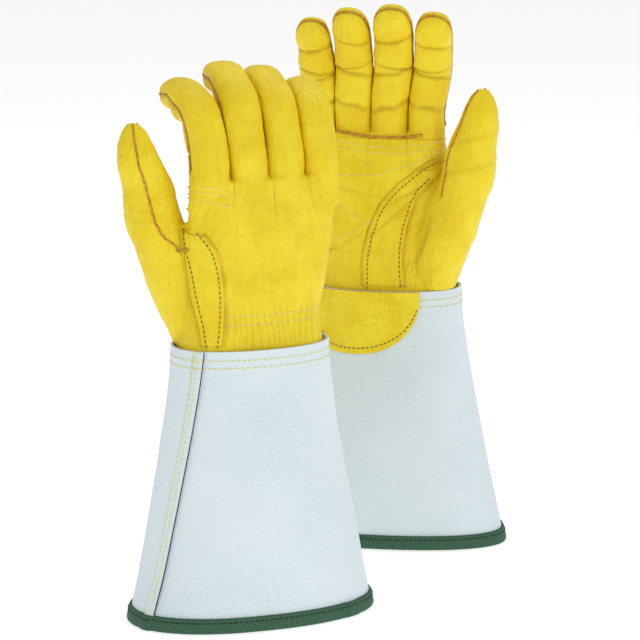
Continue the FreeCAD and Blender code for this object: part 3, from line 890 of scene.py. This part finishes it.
def stitch_object(name, glove, region, lines, thread, pitch=0.0033, length=0.0026, thickness=0.00095):
    """Thread loops along lines of (points, normals) in the glove frame, as one finished mesh."""
    verts, edges, ups = [], [], []
    for points, normals in lines:
        base = sum(len(v) for v in verts)
        verts.append(glove.row(points + normals * 0.12))
        ups.append(normals @ glove.turn.T)
        edges += [(base + i, base + i + 1) for i in range(len(points) - 1)]
    mesh = bpy.data.meshes.new(name)
    mesh.from_pydata(np.concatenate(verts).tolist(), edges, [])
    up = mesh.attributes.new("up", "FLOAT_VECTOR", "POINT")
    up.data.foreach_set("vector", np.concatenate(ups).astype(np.float32).ravel())
    guide = bpy.data.objects.new(name + "_guide", mesh)
    bpy.context.scene.collection.objects.link(guide)
    sewing = guide.modifiers.new("Stitch rows", "NODES")
    sewing.node_group = stitch_tree
    values = {"Pitch": pitch, "Length": length, "Thickness": thickness, "Thread": thread}
    for item in stitch_tree.interface.items_tree:
        if item.item_type == "SOCKET" and item.name in values:
            sewing[item.identifier] = values[item.name]
    bpy.context.view_layer.update()
    made = bpy.data.meshes.new_from_object(guide.evaluated_get(bpy.context.evaluated_depsgraph_get()))
    bpy.data.objects.remove(guide)
    made.name = name
    obj = bpy.data.objects.new(name, made)
    bpy.context.scene.collection.objects.link(obj)
    bends_with(obj, glove, region)
    return obj


# =====================================================================================================
# Finger welts: a strip of hide sewn between the front and back of each finger, so that its cut edge
# stands out as an orange line up one side, over the tip and down the other.
# =====================================================================================================
for g in gloves:
    prepare_lookup(g)
    for k, finger in enumerate(FINGERS):
        cx = (COLUMNS[k] + COLUMNS[k + 1]) / 2 + (k - 1.5) * APART
        length = LENGTH[finger]
        outline = [(cx - (13.4 + 6 * (z < 330)), KNUCKLE_Y, z) for z in (306.5, 316, 330)]
        for off, share in ((-13.0, 0.5), (-12.8, 0.8), (-10.0, 0.95), (0.0, 1.03)):
            outline.append((cx + off, KNUCKLE_Y, KNUCKLE_Z + share * length))
        outline += [(2 * cx - x, y, z) for x, y, z in outline[-2::-1]]
        laid = Laid(g, smooth_line(outline), "nearest")
        runs = [(p, n) for region, p, n in by_region(laid) if region == finger]
        obj = bead_object(f"{g.name}_{finger}_welt_edge", g, finger, runs, 1.5, 0.85, raw_edge)
        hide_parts(f"{g.name}_{finger}_finger_welt")


# =====================================================================================================
# Thumb seams: the same welt between the thumb's outer and inner pieces. One line runs down the back and
# turns in towards the strap; the other runs down the palm side into the crotch of the thumb.
# =====================================================================================================
def thumb_spot(z, degrees, out=30.0):
    """A flat-layout point beside the thumb, in a direction from its middle line."""
    tz = [t[0] for t in THUMB_SECTIONS]
    cx = np.interp(z, tz, [t[1] for t in THUMB_SECTIONS]) + 1.5 * APART * float(apart_share(z))
    cy = np.interp(z, tz, [t[2] for t in THUMB_SECTIONS])
    return cx + out * math.cos(math.radians(degrees)), cy + out * math.sin(math.radians(degrees)), z


for g in gloves:
    back_steps = ((338, 3), (334, 8), (326, 14), (312, 18), (295, 21), (278, 22))
    down_back = [thumb_spot(z, 72.0, o) for z, o in back_steps]
    down_back += [thumb_spot(267, 78, 22), thumb_spot(259, 98, 22), (50.0, 20.0, 254.0)]
    palm_steps = ((337, 3), (333, 8), (325, 13), (312, 17), (297, 20), (284, 21))
    down_palm = [thumb_spot(z, 205.0, o) for z, o in palm_steps]
    down_palm += [thumb_spot(272, 216, 26), thumb_spot(263, 226, 28)]
    runs = {"thumb": [], "hand": []}
    for path in (down_back, down_palm):
        for region, p, n in by_region(Laid(g, smooth_line(path), "nearest")):
            runs[region].append((p, n))
    for region, label in (("thumb", "thumb_welt_edge"), ("hand", "thumb_root_welt_edge")):
        obj = bead_object(f"{g.name}_{label}", g, region, runs[region], 1.5, 0.8, raw_edge)
        if region == "thumb":
            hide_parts(f"{g.name}_thumb_welt")


# =====================================================================================================
# Palm patch, palm strap and back strap: second layers of hide sewn over the hand, with cut edges. The
# strap runs up the palm, through the thumb crotch and down the back, and carries a row along each edge.
# =====================================================================================================
def patch_on_skin(name, glove, left, right, low, high, how, material, thickness=1.1):
    """A second layer between two edge lines of (x, z), laid on the palm or the back."""
    zs = np.linspace(low, high, int((high - low) / 1.6) + 2)
    lx = np.interp(zs, [p[1] for p in left], [p[0] for p in left])
    rx = np.interp(zs, [p[1] for p in right], [p[0] for p in right])
    count = max(6, int(np.max(rx - lx) / 1.6))
    share = np.linspace(0, 1, count)
    x = lx[:, None] + (rx - lx)[:, None] * share[None, :]
    z = np.repeat(zs[:, None], count, axis=1)
    flat_x = drawn_apart(x, z)
    laid = Laid(glove, np.stack([flat_x, np.zeros_like(x), z], axis=-1).reshape(-1, 3), how)
    rows = len(zs)
    index = np.arange(rows * count).reshape(rows, count)
    faces = np.stack([index[:-1, :-1], index[:-1, 1:], index[1:, 1:], index[1:, :-1]], axis=-1).reshape(-1, 4)
    if how == "back":
        faces = faces[:, ::-1]
    edge = np.zeros((rows, count), bool)
    edge[0], edge[-1], edge[:, 0], edge[:, -1] = True, True, True, True
    lift = np.where(edge.ravel(), thickness * 0.72, thickness)[:, None]
    top = laid.real + laid.normals * lift
    bottom = laid.real - laid.normals * 0.3
    finishes = [material, flesh_side, raw_edge]
    return closed_sheet(name, glove, top, bottom, laid.normals, faces, finishes, laid.flat, laid.fold * 0.7)


def hand_line(glove, points, how, lift=0.0, step=1.3):
    """A line of (x, z) on the palm or back of the hand."""
    p = smooth_line(points, step)
    laid = Laid(glove, np.stack([drawn_apart(p[:, 0], p[:, 1]), np.zeros(len(p)), p[:, 1]], axis=1), how)
    keep = laid.region == "hand"
    return laid.real[keep] + laid.normals[keep] * lift, laid.normals[keep]


PALM_STRAP_LEFT = [(-17.0, 193.0), (-17.0, 213.0), (-13.0, 233.5), (-5.0, 252.0)]
PALM_STRAP_LEFT += [(8.0, 267.0), (24.0, 279.0), (36.0, 284.0)]
PALM_STRAP_RIGHT = [(13.5, 193.0), (12.0, 212.0), (13.5, 230.0), (17.5, 246.0)]
PALM_STRAP_RIGHT += [(22.0, 258.0), (31.0, 269.0), (38.0, 277.0)]
BACK_STRAP_LEFT = [(37.0, 193.0), (37.5, 205.0), (40.0, 222.0), (42.5, 243.0), (44.0, 258.0), (44.0, 268.0)]
BACK_STRAP_RIGHT = [(24.0, 193.0), (22.0, 205.0), (21.0, 222.0), (22.0, 240.0), (25.5, 256.0), (33.0, 268.0)]
PATCH_TOP = [(-54.0, 296.5), (-40.0, 299.0), (-30.0, 298.0), (-11.5, 296.0)]
PATCH_TOP += [(9.0, 296.0), (24.0, 298.0), (40.0, 301.0)]
PATCH_MIDDLE_ROW = [(-50.0, 272.0), (-25.0, 272.0), (-8.0, 273.0), (9.0, 278.0), (24.0, 284.0), (37.0, 289.5)]

for g in gloves:
    patch_right = [(x - 1.6, z) for x, z in PALM_STRAP_LEFT if 205 < z < 283] + [(36.5, 290.0), (36.8, 301.0)]
    patch_left = [(-44.0, 215.0), (-50.0, 235.0), (-56.0, 262.0), (-61.0, 285.0), (-62.0, 298.0)]
    name = f"{g.name}_palm_patch_leather"
    obj = patch_on_skin(name, g, patch_left, patch_right, 218.0, 298.0, "palm", patch_leather, 0.9)
    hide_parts(f"{g.name}_palm_patch")
    bends_with(obj, g, "hand")
    for how, label, left, right, high in (
        ("palm", "palm_strap", PALM_STRAP_LEFT, PALM_STRAP_RIGHT, 276.0),
        ("back", "back_strap", BACK_STRAP_RIGHT, BACK_STRAP_LEFT, 267.0),
    ):
        obj = patch_on_skin(f"{g.name}_{label}_leather", g, left, right, 193.5, high, how, hand_leather, 1.2)
        if how == "back":
            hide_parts(f"{g.name}_thumb_strap")
        bends_with(obj, g, "hand")
    edges = [hand_line(g, PALM_STRAP_LEFT, "palm", 0.45), hand_line(g, PALM_STRAP_RIGHT[:-1], "palm", 0.45)]
    edges += [hand_line(g, BACK_STRAP_RIGHT, "back", 0.45), hand_line(g, BACK_STRAP_LEFT, "back", 0.45)]
    obj = bead_object(f"{g.name}_strap_rolled_edges", g, "hand", edges, 1.7, 1.25, shaded_rolled_edge)
    gunn = [hand_line(g, [(x, z + 3.4) for x, z in PATCH_TOP[1:-1]], "palm", 0.2)]
    obj = bead_object(f"{g.name}_finger_base_edge", g, "hand", gunn, 2.2, 1.5, raw_edge)
    rows = [
        hand_line(g, [(x + 3.2, z - 1.2) for x, z in PALM_STRAP_LEFT], "palm", 1.2),
        hand_line(g, [(x - 3.2, z + 0.6) for x, z in PALM_STRAP_RIGHT[:-1]], "palm", 1.2),
        hand_line(g, [(x + 3.2, z) for x, z in BACK_STRAP_RIGHT], "back", 1.2),
        hand_line(g, [(x - 3.0, z) for x, z in BACK_STRAP_LEFT], "back", 1.2),
    ]
    obj = stitch_object(f"{g.name}_strap_stitches", g, "hand", rows, shadowed_strap_thread)
    rows = [
        hand_line(g, [(x, z - 3.6) for x, z in PATCH_TOP], "palm", 0.95),
        hand_line(g, [(x, z - 8.0) for x, z in PATCH_TOP], "palm", 0.95),
        hand_line(g, PATCH_MIDDLE_ROW, "palm", 0.95),
        hand_line(g, [(-52.0, 262.0), (-30.0, 246.5), (-13.5, 238.6)], "palm", 0.95),
        hand_line(g, [(-13.5, 238.6), (-30.0, 229.0), (-44.0, 223.0)], "palm", 0.95),
    ]
    for z in (290.0, 296.0, 300.0):
        rows.append(hand_line(g, [(17.0, z - 4.0), (28.0, z - 1.0), (36.5, z)], "back", 0.1))
    obj = stitch_object(f"{g.name}_hand_seam_stitches", g, "hand", rows, hand_thread)


# =====================================================================================================
# Wrist gathers: two rows of thread sewn through the elastic that sits inside, behind the back leather.
# =====================================================================================================
elastic, tree, shader = new_material("woven elastic, natural", "E6E2D2", 0.9)
rest = node(tree, "ShaderNodeAttribute", (-900, 0), attribute_name="rest")
spot = {"Vector": rest.outputs["Vector"]}
ribs = node(tree, "ShaderNodeTexWave", (-650, 0), spot, bands_direction="Z", Scale=260.0)
raised = {"Height": ribs.outputs["Fac"]}
bump = node(tree, "ShaderNodeBump", (-350, -100), raised, Strength=0.4, Distance=0.0004)
tree.links.new(bump.outputs["Normal"], shader.inputs["Normal"])
for g in gloves:
    rows = []
    for z in (206.5, 212.5):
        rows.append(hand_line(g, [(-49.0, z), (-20.0, z), (5.0, z), (25.0, z)], "back", 0.15, 0.8))
    obj = stitch_object(f"{g.name}_shirring_rows", g, "hand", rows, hand_thread, 0.0027, 0.0021)
    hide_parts(f"{g.name}_wrist_shirring_stitching")
    strip = [hand_line(g, [(-46.0, 209.5), (-20.0, 209.5), (5.0, 209.5), (22.0, 209.5)], "back", -2.9, 2.0)]
    obj = bead_object(f"{g.name}_inner_elastic", g, "hand", strip, 10.0, 0.9, elastic)
    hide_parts(f"{g.name}_wrist_elastic")


# =====================================================================================================
# Gauntlet cuffs: split cowhide, pearl white with a short nap, 1.8 mm thick. The palm panel laps over
# the back panel at both side seams, with a thin near-black bead along its edge beside two rows.
# =====================================================================================================
def suede(name, light, mid, dark):
    m, t, shader = new_material(name, mid, 0.92)
    rest = node(t, "ShaderNodeAttribute", (-1100, 0), attribute_name="rest")
    spot = {"Vector": rest.outputs["Vector"]}
    cloud = node(t, "ShaderNodeTexNoise", (-850, 250), spot, Scale=11.0, Detail=2.0)
    nap = node(t, "ShaderNodeTexNoise", (-850, 0), spot, Scale=1100.0, Detail=4.0)
    speck = node(t, "ShaderNodeMath", (-600, 100), operation="MULTIPLY_ADD")
    t.links.new(nap.outputs["Fac"], speck.inputs[0])
    speck.inputs[1].default_value = 1.1
    even = node(t, "ShaderNodeMath", (-700, 250), {0: cloud.outputs["Fac"]}, operation="MULTIPLY")
    even.inputs[1].default_value = 0.3
    t.links.new(even.outputs["Value"], speck.inputs[2])
    tint = colour_ramp(t, speck.outputs["Value"], ((0.48, dark), (0.64, mid), (0.9, light)), (-400, 100))
    raised = {"Height": nap.outputs["Fac"]}
    bump = node(t, "ShaderNodeBump", (-300, -250), raised, Strength=0.35, Distance=0.0004)
    t.links.new(tint.outputs["Color"], shader.inputs["Base Color"])
    t.links.new(bump.outputs["Normal"], shader.inputs["Normal"])
    shader.inputs["Sheen Weight"].default_value = 0.25
    shader.inputs["Specular IOR Level"].default_value = 0.2
    return m


cuff_suede = suede("pearl white split cowhide, brushed", "E6F1F5", "DBE8ED", "BCCDD5")
cuff_inside = suede("split cowhide, inner face", "DDE3E2", "CBD5D6", "B2BFC2")
# A thin near-black bead along each lap edge of the palm panel.
near_black_lap_line, tree, shader = new_material("cut edge of split cowhide, dark", "2C3648", 0.85)
CUFF_TOP_HALF, CUFF_CENTRE_X, CUFF_TOP = (55.0, 32.6), -4.0, 190.0
LAP_DEG, LAP_WIDE_DEG = 31.0, 7.0


def seam_slant(z):
    """The side seams lean as they rise: how far round they have gone at height z."""
    return 21.0 * np.asarray(z, float) / CUFF_TOP - 7.0


def cuff_spots(glove, degrees, z, out=0.0):
    """Points of the cuff's outer face at a direction round it and a height, moved out a little."""
    degrees, z, out = np.broadcast_arrays(*(np.asarray(v, float) for v in (degrees, z, out)))
    a = np.radians(degrees + seam_slant(z))
    t = np.clip((CUFF_TOP - z) / CUFF_TOP, 0, 1) ** 1.3
    hx = CUFF_TOP_HALF[0] + (glove.hem_half[0] - CUFF_TOP_HALF[0]) * t + out
    hy = CUFF_TOP_HALF[1] + (glove.hem_half[1] - CUFF_TOP_HALF[1]) * t + out
    c, s = np.cos(a), np.sin(a)
    x = np.sign(c) * abs(c) ** (2 / 2.2) * hx
    y = np.sign(s) * abs(s) ** (2 / 2.2) * hy
    p = np.stack([x + CUFF_CENTRE_X, y, z], axis=-1)
    flat = p.reshape(-1, 3)
    soft = noise_at(flat * (1.0, 1.0, 0.55), 52.0, glove.seed + 20) * 1.9
    soft = soft + noise_at(flat, 20.0, glove.seed + 22) * 0.35
    free = smooth01((flat[:, 2] - 4) / 40) * smooth01((205 - flat[:, 2]) / 45)
    outward = np.stack([flat[:, 0] - CUFF_CENTRE_X, flat[:, 1] * 2, np.zeros(len(flat))], axis=1)
    outward /= np.linalg.norm(outward, axis=1, keepdims=True)
    return (flat + outward * (soft * (0.25 + 0.75 * free))[:, None]).reshape(p.shape)


def grid_faces(rows, count, closed=False):
    index = np.arange(rows * count).reshape(rows, count)
    if closed:
        index = np.concatenate([index, index[:, :1]], axis=1)
    return np.stack([index[:-1, :-1], index[:-1, 1:], index[1:, 1:], index[1:, :-1]], axis=-1).reshape(-1, 4)


def lap_out(degrees):
    """How far the palm panel stands off where it lies over the back panel."""
    near_thumb_lap = smooth01((degrees - LAP_DEG + LAP_WIDE_DEG + 4) / 5)
    little_finger_lap = smooth01((LAP_DEG - 180 - degrees + LAP_WIDE_DEG + 4) / 5)
    return 1.9 * np.maximum(near_thumb_lap, little_finger_lap)


for g in gloves:
    zs = np.concatenate([np.linspace(1.5, 178.0, 84), np.linspace(180.0, CUFF_TOP, 7)])
    for label, start, end, node_name in (
        ("cuff_back_panel", LAP_DEG - LAP_WIDE_DEG, LAP_DEG + 180 + LAP_WIDE_DEG, "cuff_back_panel"),
        ("cuff_palm_panel", LAP_DEG - 180, LAP_DEG, "cuff_palm_panel"),
    ):
        degrees = np.linspace(start, end, 150)
        d, z = np.meshgrid(degrees, zs)
        out = lap_out(d) if label == "cuff_palm_panel" else 0.0
        top = cuff_spots(g, d, z, out)
        bottom = cuff_spots(g, d, z, out - 1.8)
        du, dv = np.gradient(top, axis=1), np.gradient(top, axis=0)
        n = np.cross(du, dv)
        n /= np.linalg.norm(n, axis=-1, keepdims=True)
        faces = grid_faces(*d.shape)
        rest_spot = np.stack([d.ravel() * 1.15, z.ravel(), np.zeros(d.size)], axis=1)
        obj = closed_sheet(
            f"{g.name}_{label}_suede",
            g,
            top.reshape(-1, 3),
            bottom.reshape(-1, 3),
            n.reshape(-1, 3),
            faces,
            [cuff_suede, cuff_inside],
            rest_spot,
            np.zeros(d.size),
        )
        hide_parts(f"{g.name}_{node_name}")
        bends_with(obj, g, "cuff")


def cuff_line(glove, degrees, z, out):
    """A line on the cuff and the directions out of it."""
    p = cuff_spots(glove, degrees, z, out)
    step = 0.4
    du = cuff_spots(glove, np.asarray(degrees) + step, z, out) - p
    dv = cuff_spots(glove, degrees, np.asarray(z) + step, out) - p
    n = np.cross(du, dv)
    return p, n / np.linalg.norm(n, axis=1, keepdims=True)


for g in gloves:
    span = np.linspace(11.0, CUFF_TOP - 0.3, 90)
    edges = [cuff_line(g, np.full(90, a), span, 1.45) for a in (LAP_DEG + 0.25, LAP_DEG - 180.25)]
    obj = bead_object(f"{g.name}_cuff_lap_edges", g, "cuff", edges, 0.6, 0.5, near_black_lap_line)
    width = 38.0 + 20.0 * (1 - span / CUFF_TOP)
    rows = []
    for mm in (3.2, 7.6):
        turn_deg = np.degrees(mm / width)
        rows.append(cuff_line(g, LAP_DEG - turn_deg, span, lap_out(LAP_DEG - turn_deg)))
        rows.append(cuff_line(g, LAP_DEG - 180 + turn_deg, span, lap_out(LAP_DEG - 180 + turn_deg)))
    obj = stitch_object(f"{g.name}_cuff_lap_stitches", g, "cuff", rows, pale_thread, 0.0036, 0.0029, 0.00095)


# =====================================================================================================
# Pulse patch: a half-moon of yellow grain hide over the inner wrist, its straight edge along the top.
# =====================================================================================================
def along_top(glove):
    """Directions round the cuff's top, against the length along it from the middle of the palm."""
    degrees = np.linspace(-270, 90, 721)
    p = cuff_spots(glove, degrees - seam_slant(CUFF_TOP - 1), CUFF_TOP - 1)
    run = np.concatenate([[0], np.cumsum(np.linalg.norm(np.diff(p, axis=0), axis=1))])
    return degrees, run - np.interp(-90, degrees, run)


for g in gloves:
    degrees, run = along_top(g)
    middle, half, drop = -18.0, 47.0, 46.0
    a = np.linspace(-0.992, 0.992, 70)
    depth = drop * (1 - abs(a) ** 2.2) ** (1 / 2.0)
    share = np.linspace(0, 1, 36)
    grid_a = np.repeat(a[None, :], 36, axis=0)
    z = CUFF_TOP - 0.2 - share[:, None] * depth[None, :]
    deg = np.interp(middle + grid_a * half, run, degrees) - seam_slant(z)
    off = lap_out(deg)
    top, bottom = cuff_spots(g, deg, z, off + 1.3), cuff_spots(g, deg, z, off - 0.2)
    p, n = cuff_line(g, deg.ravel(), z.ravel(), off.ravel() + 1.3)
    obj = closed_sheet(
        f"{g.name}_pulse_patch_leather",
        g,
        top.reshape(-1, 3),
        bottom.reshape(-1, 3),
        n,
        grid_faces(36, 70)[:, ::-1],
        [patch_leather, flesh_side, raw_edge],
        np.stack([middle + grid_a.ravel() * half, z.ravel(), np.full(z.size, 40.0)], axis=1),
        np.zeros(z.size),
    )
    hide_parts(f"{g.name}_cuff_pulse_patch")
    bends_with(obj, g, "cuff")
    turn_a = np.linspace(-0.93, 0.93, 90)
    line_z = CUFF_TOP - drop * (1 - abs(turn_a) ** 2.2) ** 0.5 + 4.0
    line_deg = np.interp(middle + turn_a * half, run, degrees) - seam_slant(line_z)
    off = lap_out(line_deg)
    rows = [cuff_line(g, line_deg, line_z, off + 1.35)]
    obj = stitch_object(f"{g.name}_pulse_patch_stitches", g, "cuff", rows, shadowed_strap_thread)
    clear = np.interp(middle + np.array((-half, half)) - (1.5, -1.5), run, degrees) - seam_slant(182.0)
    rows = []
    for z in (183.8, 178.6):
        ring = np.linspace(clear[1], clear[0] + 360, 260)
        wrapped = (ring + 180) % 360 - 180
        on_palm_panel = (wrapped < LAP_DEG + 0.1) & (wrapped > LAP_DEG - 180.1)
        off = lap_out(np.where(on_palm_panel, wrapped, -90.0))
        off = np.where((wrapped > LAP_DEG) | (wrapped < LAP_DEG - 180), 0.0, off)
        rows.append(cuff_line(g, ring, np.full(260, z), off))
    obj = stitch_object(f"{g.name}_cuff_top_rows", g, "cuff", rows, pale_thread, 0.0038, 0.0031, 0.00095)
    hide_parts(f"{g.name}_cuff_top_stitching")


# =====================================================================================================
# Hem binding: green woven tape folded over the cuff's cut edge and sewn through, with a lapped joint.
# =====================================================================================================
tape, tree, shader = new_material("woven polypropylene tape, green", "3E6F50", 0.75)
rest = node(tree, "ShaderNodeAttribute", (-1100, 0), attribute_name="rest")
spot = {"Vector": rest.outputs["Vector"]}
weft = node(tree, "ShaderNodeTexWave", (-850, 200), spot, bands_direction="X", Scale=260.0, Distortion=0.6)
warp = node(tree, "ShaderNodeTexWave", (-850, -150), spot, bands_direction="Z", Scale=340.0)
threads = {0: weft.outputs["Fac"], 1: warp.outputs["Fac"]}
weave = node(tree, "ShaderNodeMath", (-600, 50), threads, operation="MULTIPLY")
green_steps = ((0.0, "274B36"), (0.5, "3F7354"), (1.0, "5C9470"))
tint = colour_ramp(tree, weave.outputs["Value"], green_steps, (-350, 50))
raised = {"Height": weave.outputs["Value"]}
bump = node(tree, "ShaderNodeBump", (-300, -250), raised, Strength=0.6, Distance=0.0004)
tree.links.new(tint.outputs["Color"], shader.inputs["Base Color"])
tree.links.new(bump.outputs["Normal"], shader.inputs["Normal"])
for g in gloves:
    profile = ((0.3, 10.4), (1.5, 10.2), (1.9, 9.4), (2.0, 5.0), (1.8, 1.4), (1.1, 0.3), (-0.4, 0.0))
    profile += ((-2.2, 0.3), (-2.9, 1.4), (-3.1, 5.0), (-3.0, 8.6), (-2.6, 9.2), (-1.6, 9.2))
    joint = [134.0, 134.15, *np.linspace(136, 142, 6), 143.85, 144.0]
    degrees = np.concatenate([np.linspace(-90, 133, 160), joint, np.linspace(145, 270, 90, endpoint=False)])
    lapped = ((degrees > 134.1) & (degrees < 143.9)) * 0.8
    wrapped = (degrees + 180) % 360 - 180
    under = np.where((wrapped <= LAP_DEG) & (wrapped >= LAP_DEG - 180), lap_out(wrapped), 0.0)
    under = under * 0.85
    rings, rests = [], []
    length = np.radians(degrees) * 68.0
    for out, z in profile:
        extra = np.where(out > 0, under + lapped, 0.0)
        rings.append(cuff_spots(g, degrees, np.full(len(degrees), z), out + extra))
        rests.append(np.stack([length, np.full(len(degrees), out), np.full(len(degrees), z)], axis=1))
    verts = np.stack(rings)
    count, ring = len(profile), len(degrees)
    index = np.arange(count * ring).reshape(count, ring)
    index = np.concatenate([index, index[:1]], axis=0)
    index = np.concatenate([index, index[:, :1]], axis=1)
    faces = np.stack([index[:-1, :-1], index[1:, :-1], index[1:, 1:], index[:-1, 1:]], axis=-1).reshape(-1, 4)
    obj = mesh_object(f"{g.name}_hem_tape", g.row(verts.reshape(-1, 3)), faces, [tape])
    store(obj, "rest", np.stack(rests).reshape(-1, 3) / 1000)
    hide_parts(f"{g.name}_cuff_hem_binding")
    bends_with(obj, g, "cuff")
    rows = [cuff_line(g, degrees, np.full(len(degrees), 7.6), 1.95 + under + lapped)]
    obj = stitch_object(f"{g.name}_hem_stitches", g, "cuff", rows, dark_thread, 0.0036, 0.0029, 0.0009)
    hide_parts(f"{g.name}_binding_stitching")


# =====================================================================================================
# Studio: pale floor, soft lights from the front left, front right and above, and a long lens looking
# a little down.
# =====================================================================================================
floor_finish, tree, shader = new_material("studio floor, matt white", "FCFCFC", 0.95)
shader.inputs["Emission Color"].default_value = (1, 1, 1, 1)
shader.inputs["Emission Strength"].default_value = 0.42
shader.inputs["Specular IOR Level"].default_value = 0.1
size = 6.0
floor_corners = [(-size, -size, 0), (size, -size, 0), (size, size, 0), (-size, size, 0)]
floor = mesh_object("floor", floor_corners, [(0, 1, 2, 3)], [floor_finish])
lights = []
for label, place, energy, width in (
    ("key", (-1.1, -1.5, 1.5), 5.2, 1.0),
    ("fill", (1.3, -1.1, 0.9), 6.0, 1.2),
    ("top", (0.1, 0.5, 1.9), 8.5, 1.3),
):
    lamp = bpy.data.lights.new(label, "AREA")
    lamp.energy, lamp.size = energy, width
    obj = bpy.data.objects.new(label, lamp)
    bpy.context.scene.collection.objects.link(obj)
    obj.location = place
    obj.rotation_euler = (Vector((0, 0, 0.2)) - Vector(place)).to_track_quat("-Z", "Y").to_euler()
    lights.append(obj)
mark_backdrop(floor, *lights)
world = bpy.data.worlds.new("studio")
bpy.context.scene.world = world
world.use_nodes = True
world.node_tree.nodes["Background"].inputs["Color"].default_value = (1, 1, 1, 1)
rays = node(world.node_tree, "ShaderNodeLightPath", (-600, 0))
camera_ray = {0: rays.outputs["Is Camera Ray"]}
seen = node(world.node_tree, "ShaderNodeMath", (-400, 0), camera_ray, operation="MULTIPLY_ADD")
lighting, extra_for_camera = 0.5, 0.5
seen.inputs[1].default_value, seen.inputs[2].default_value = extra_for_camera, lighting
world.node_tree.links.new(seen.outputs["Value"], world.node_tree.nodes["Background"].inputs["Strength"])
lens = bpy.data.cameras.new("camera")
lens.lens, lens.sensor_width = 200.0, 36.0
camera = bpy.data.objects.new("camera", lens)
bpy.context.scene.collection.objects.link(camera)
tilt = math.radians(12.5)
around = math.radians(3.5)
level = math.cos(tilt)
back_to_camera = Vector((math.sin(around) * level, -math.cos(around) * level, math.sin(tilt)))
aim, distance = Vector((0.0, 0.0, 0.185)), 2.49
camera.location = aim + back_to_camera * distance
camera.rotation_euler = (-back_to_camera).to_track_quat("-Z", "Y").to_euler()
bpy.context.scene.camera = camera
bpy.context.scene.view_settings.view_transform = "Standard"

low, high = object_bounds()
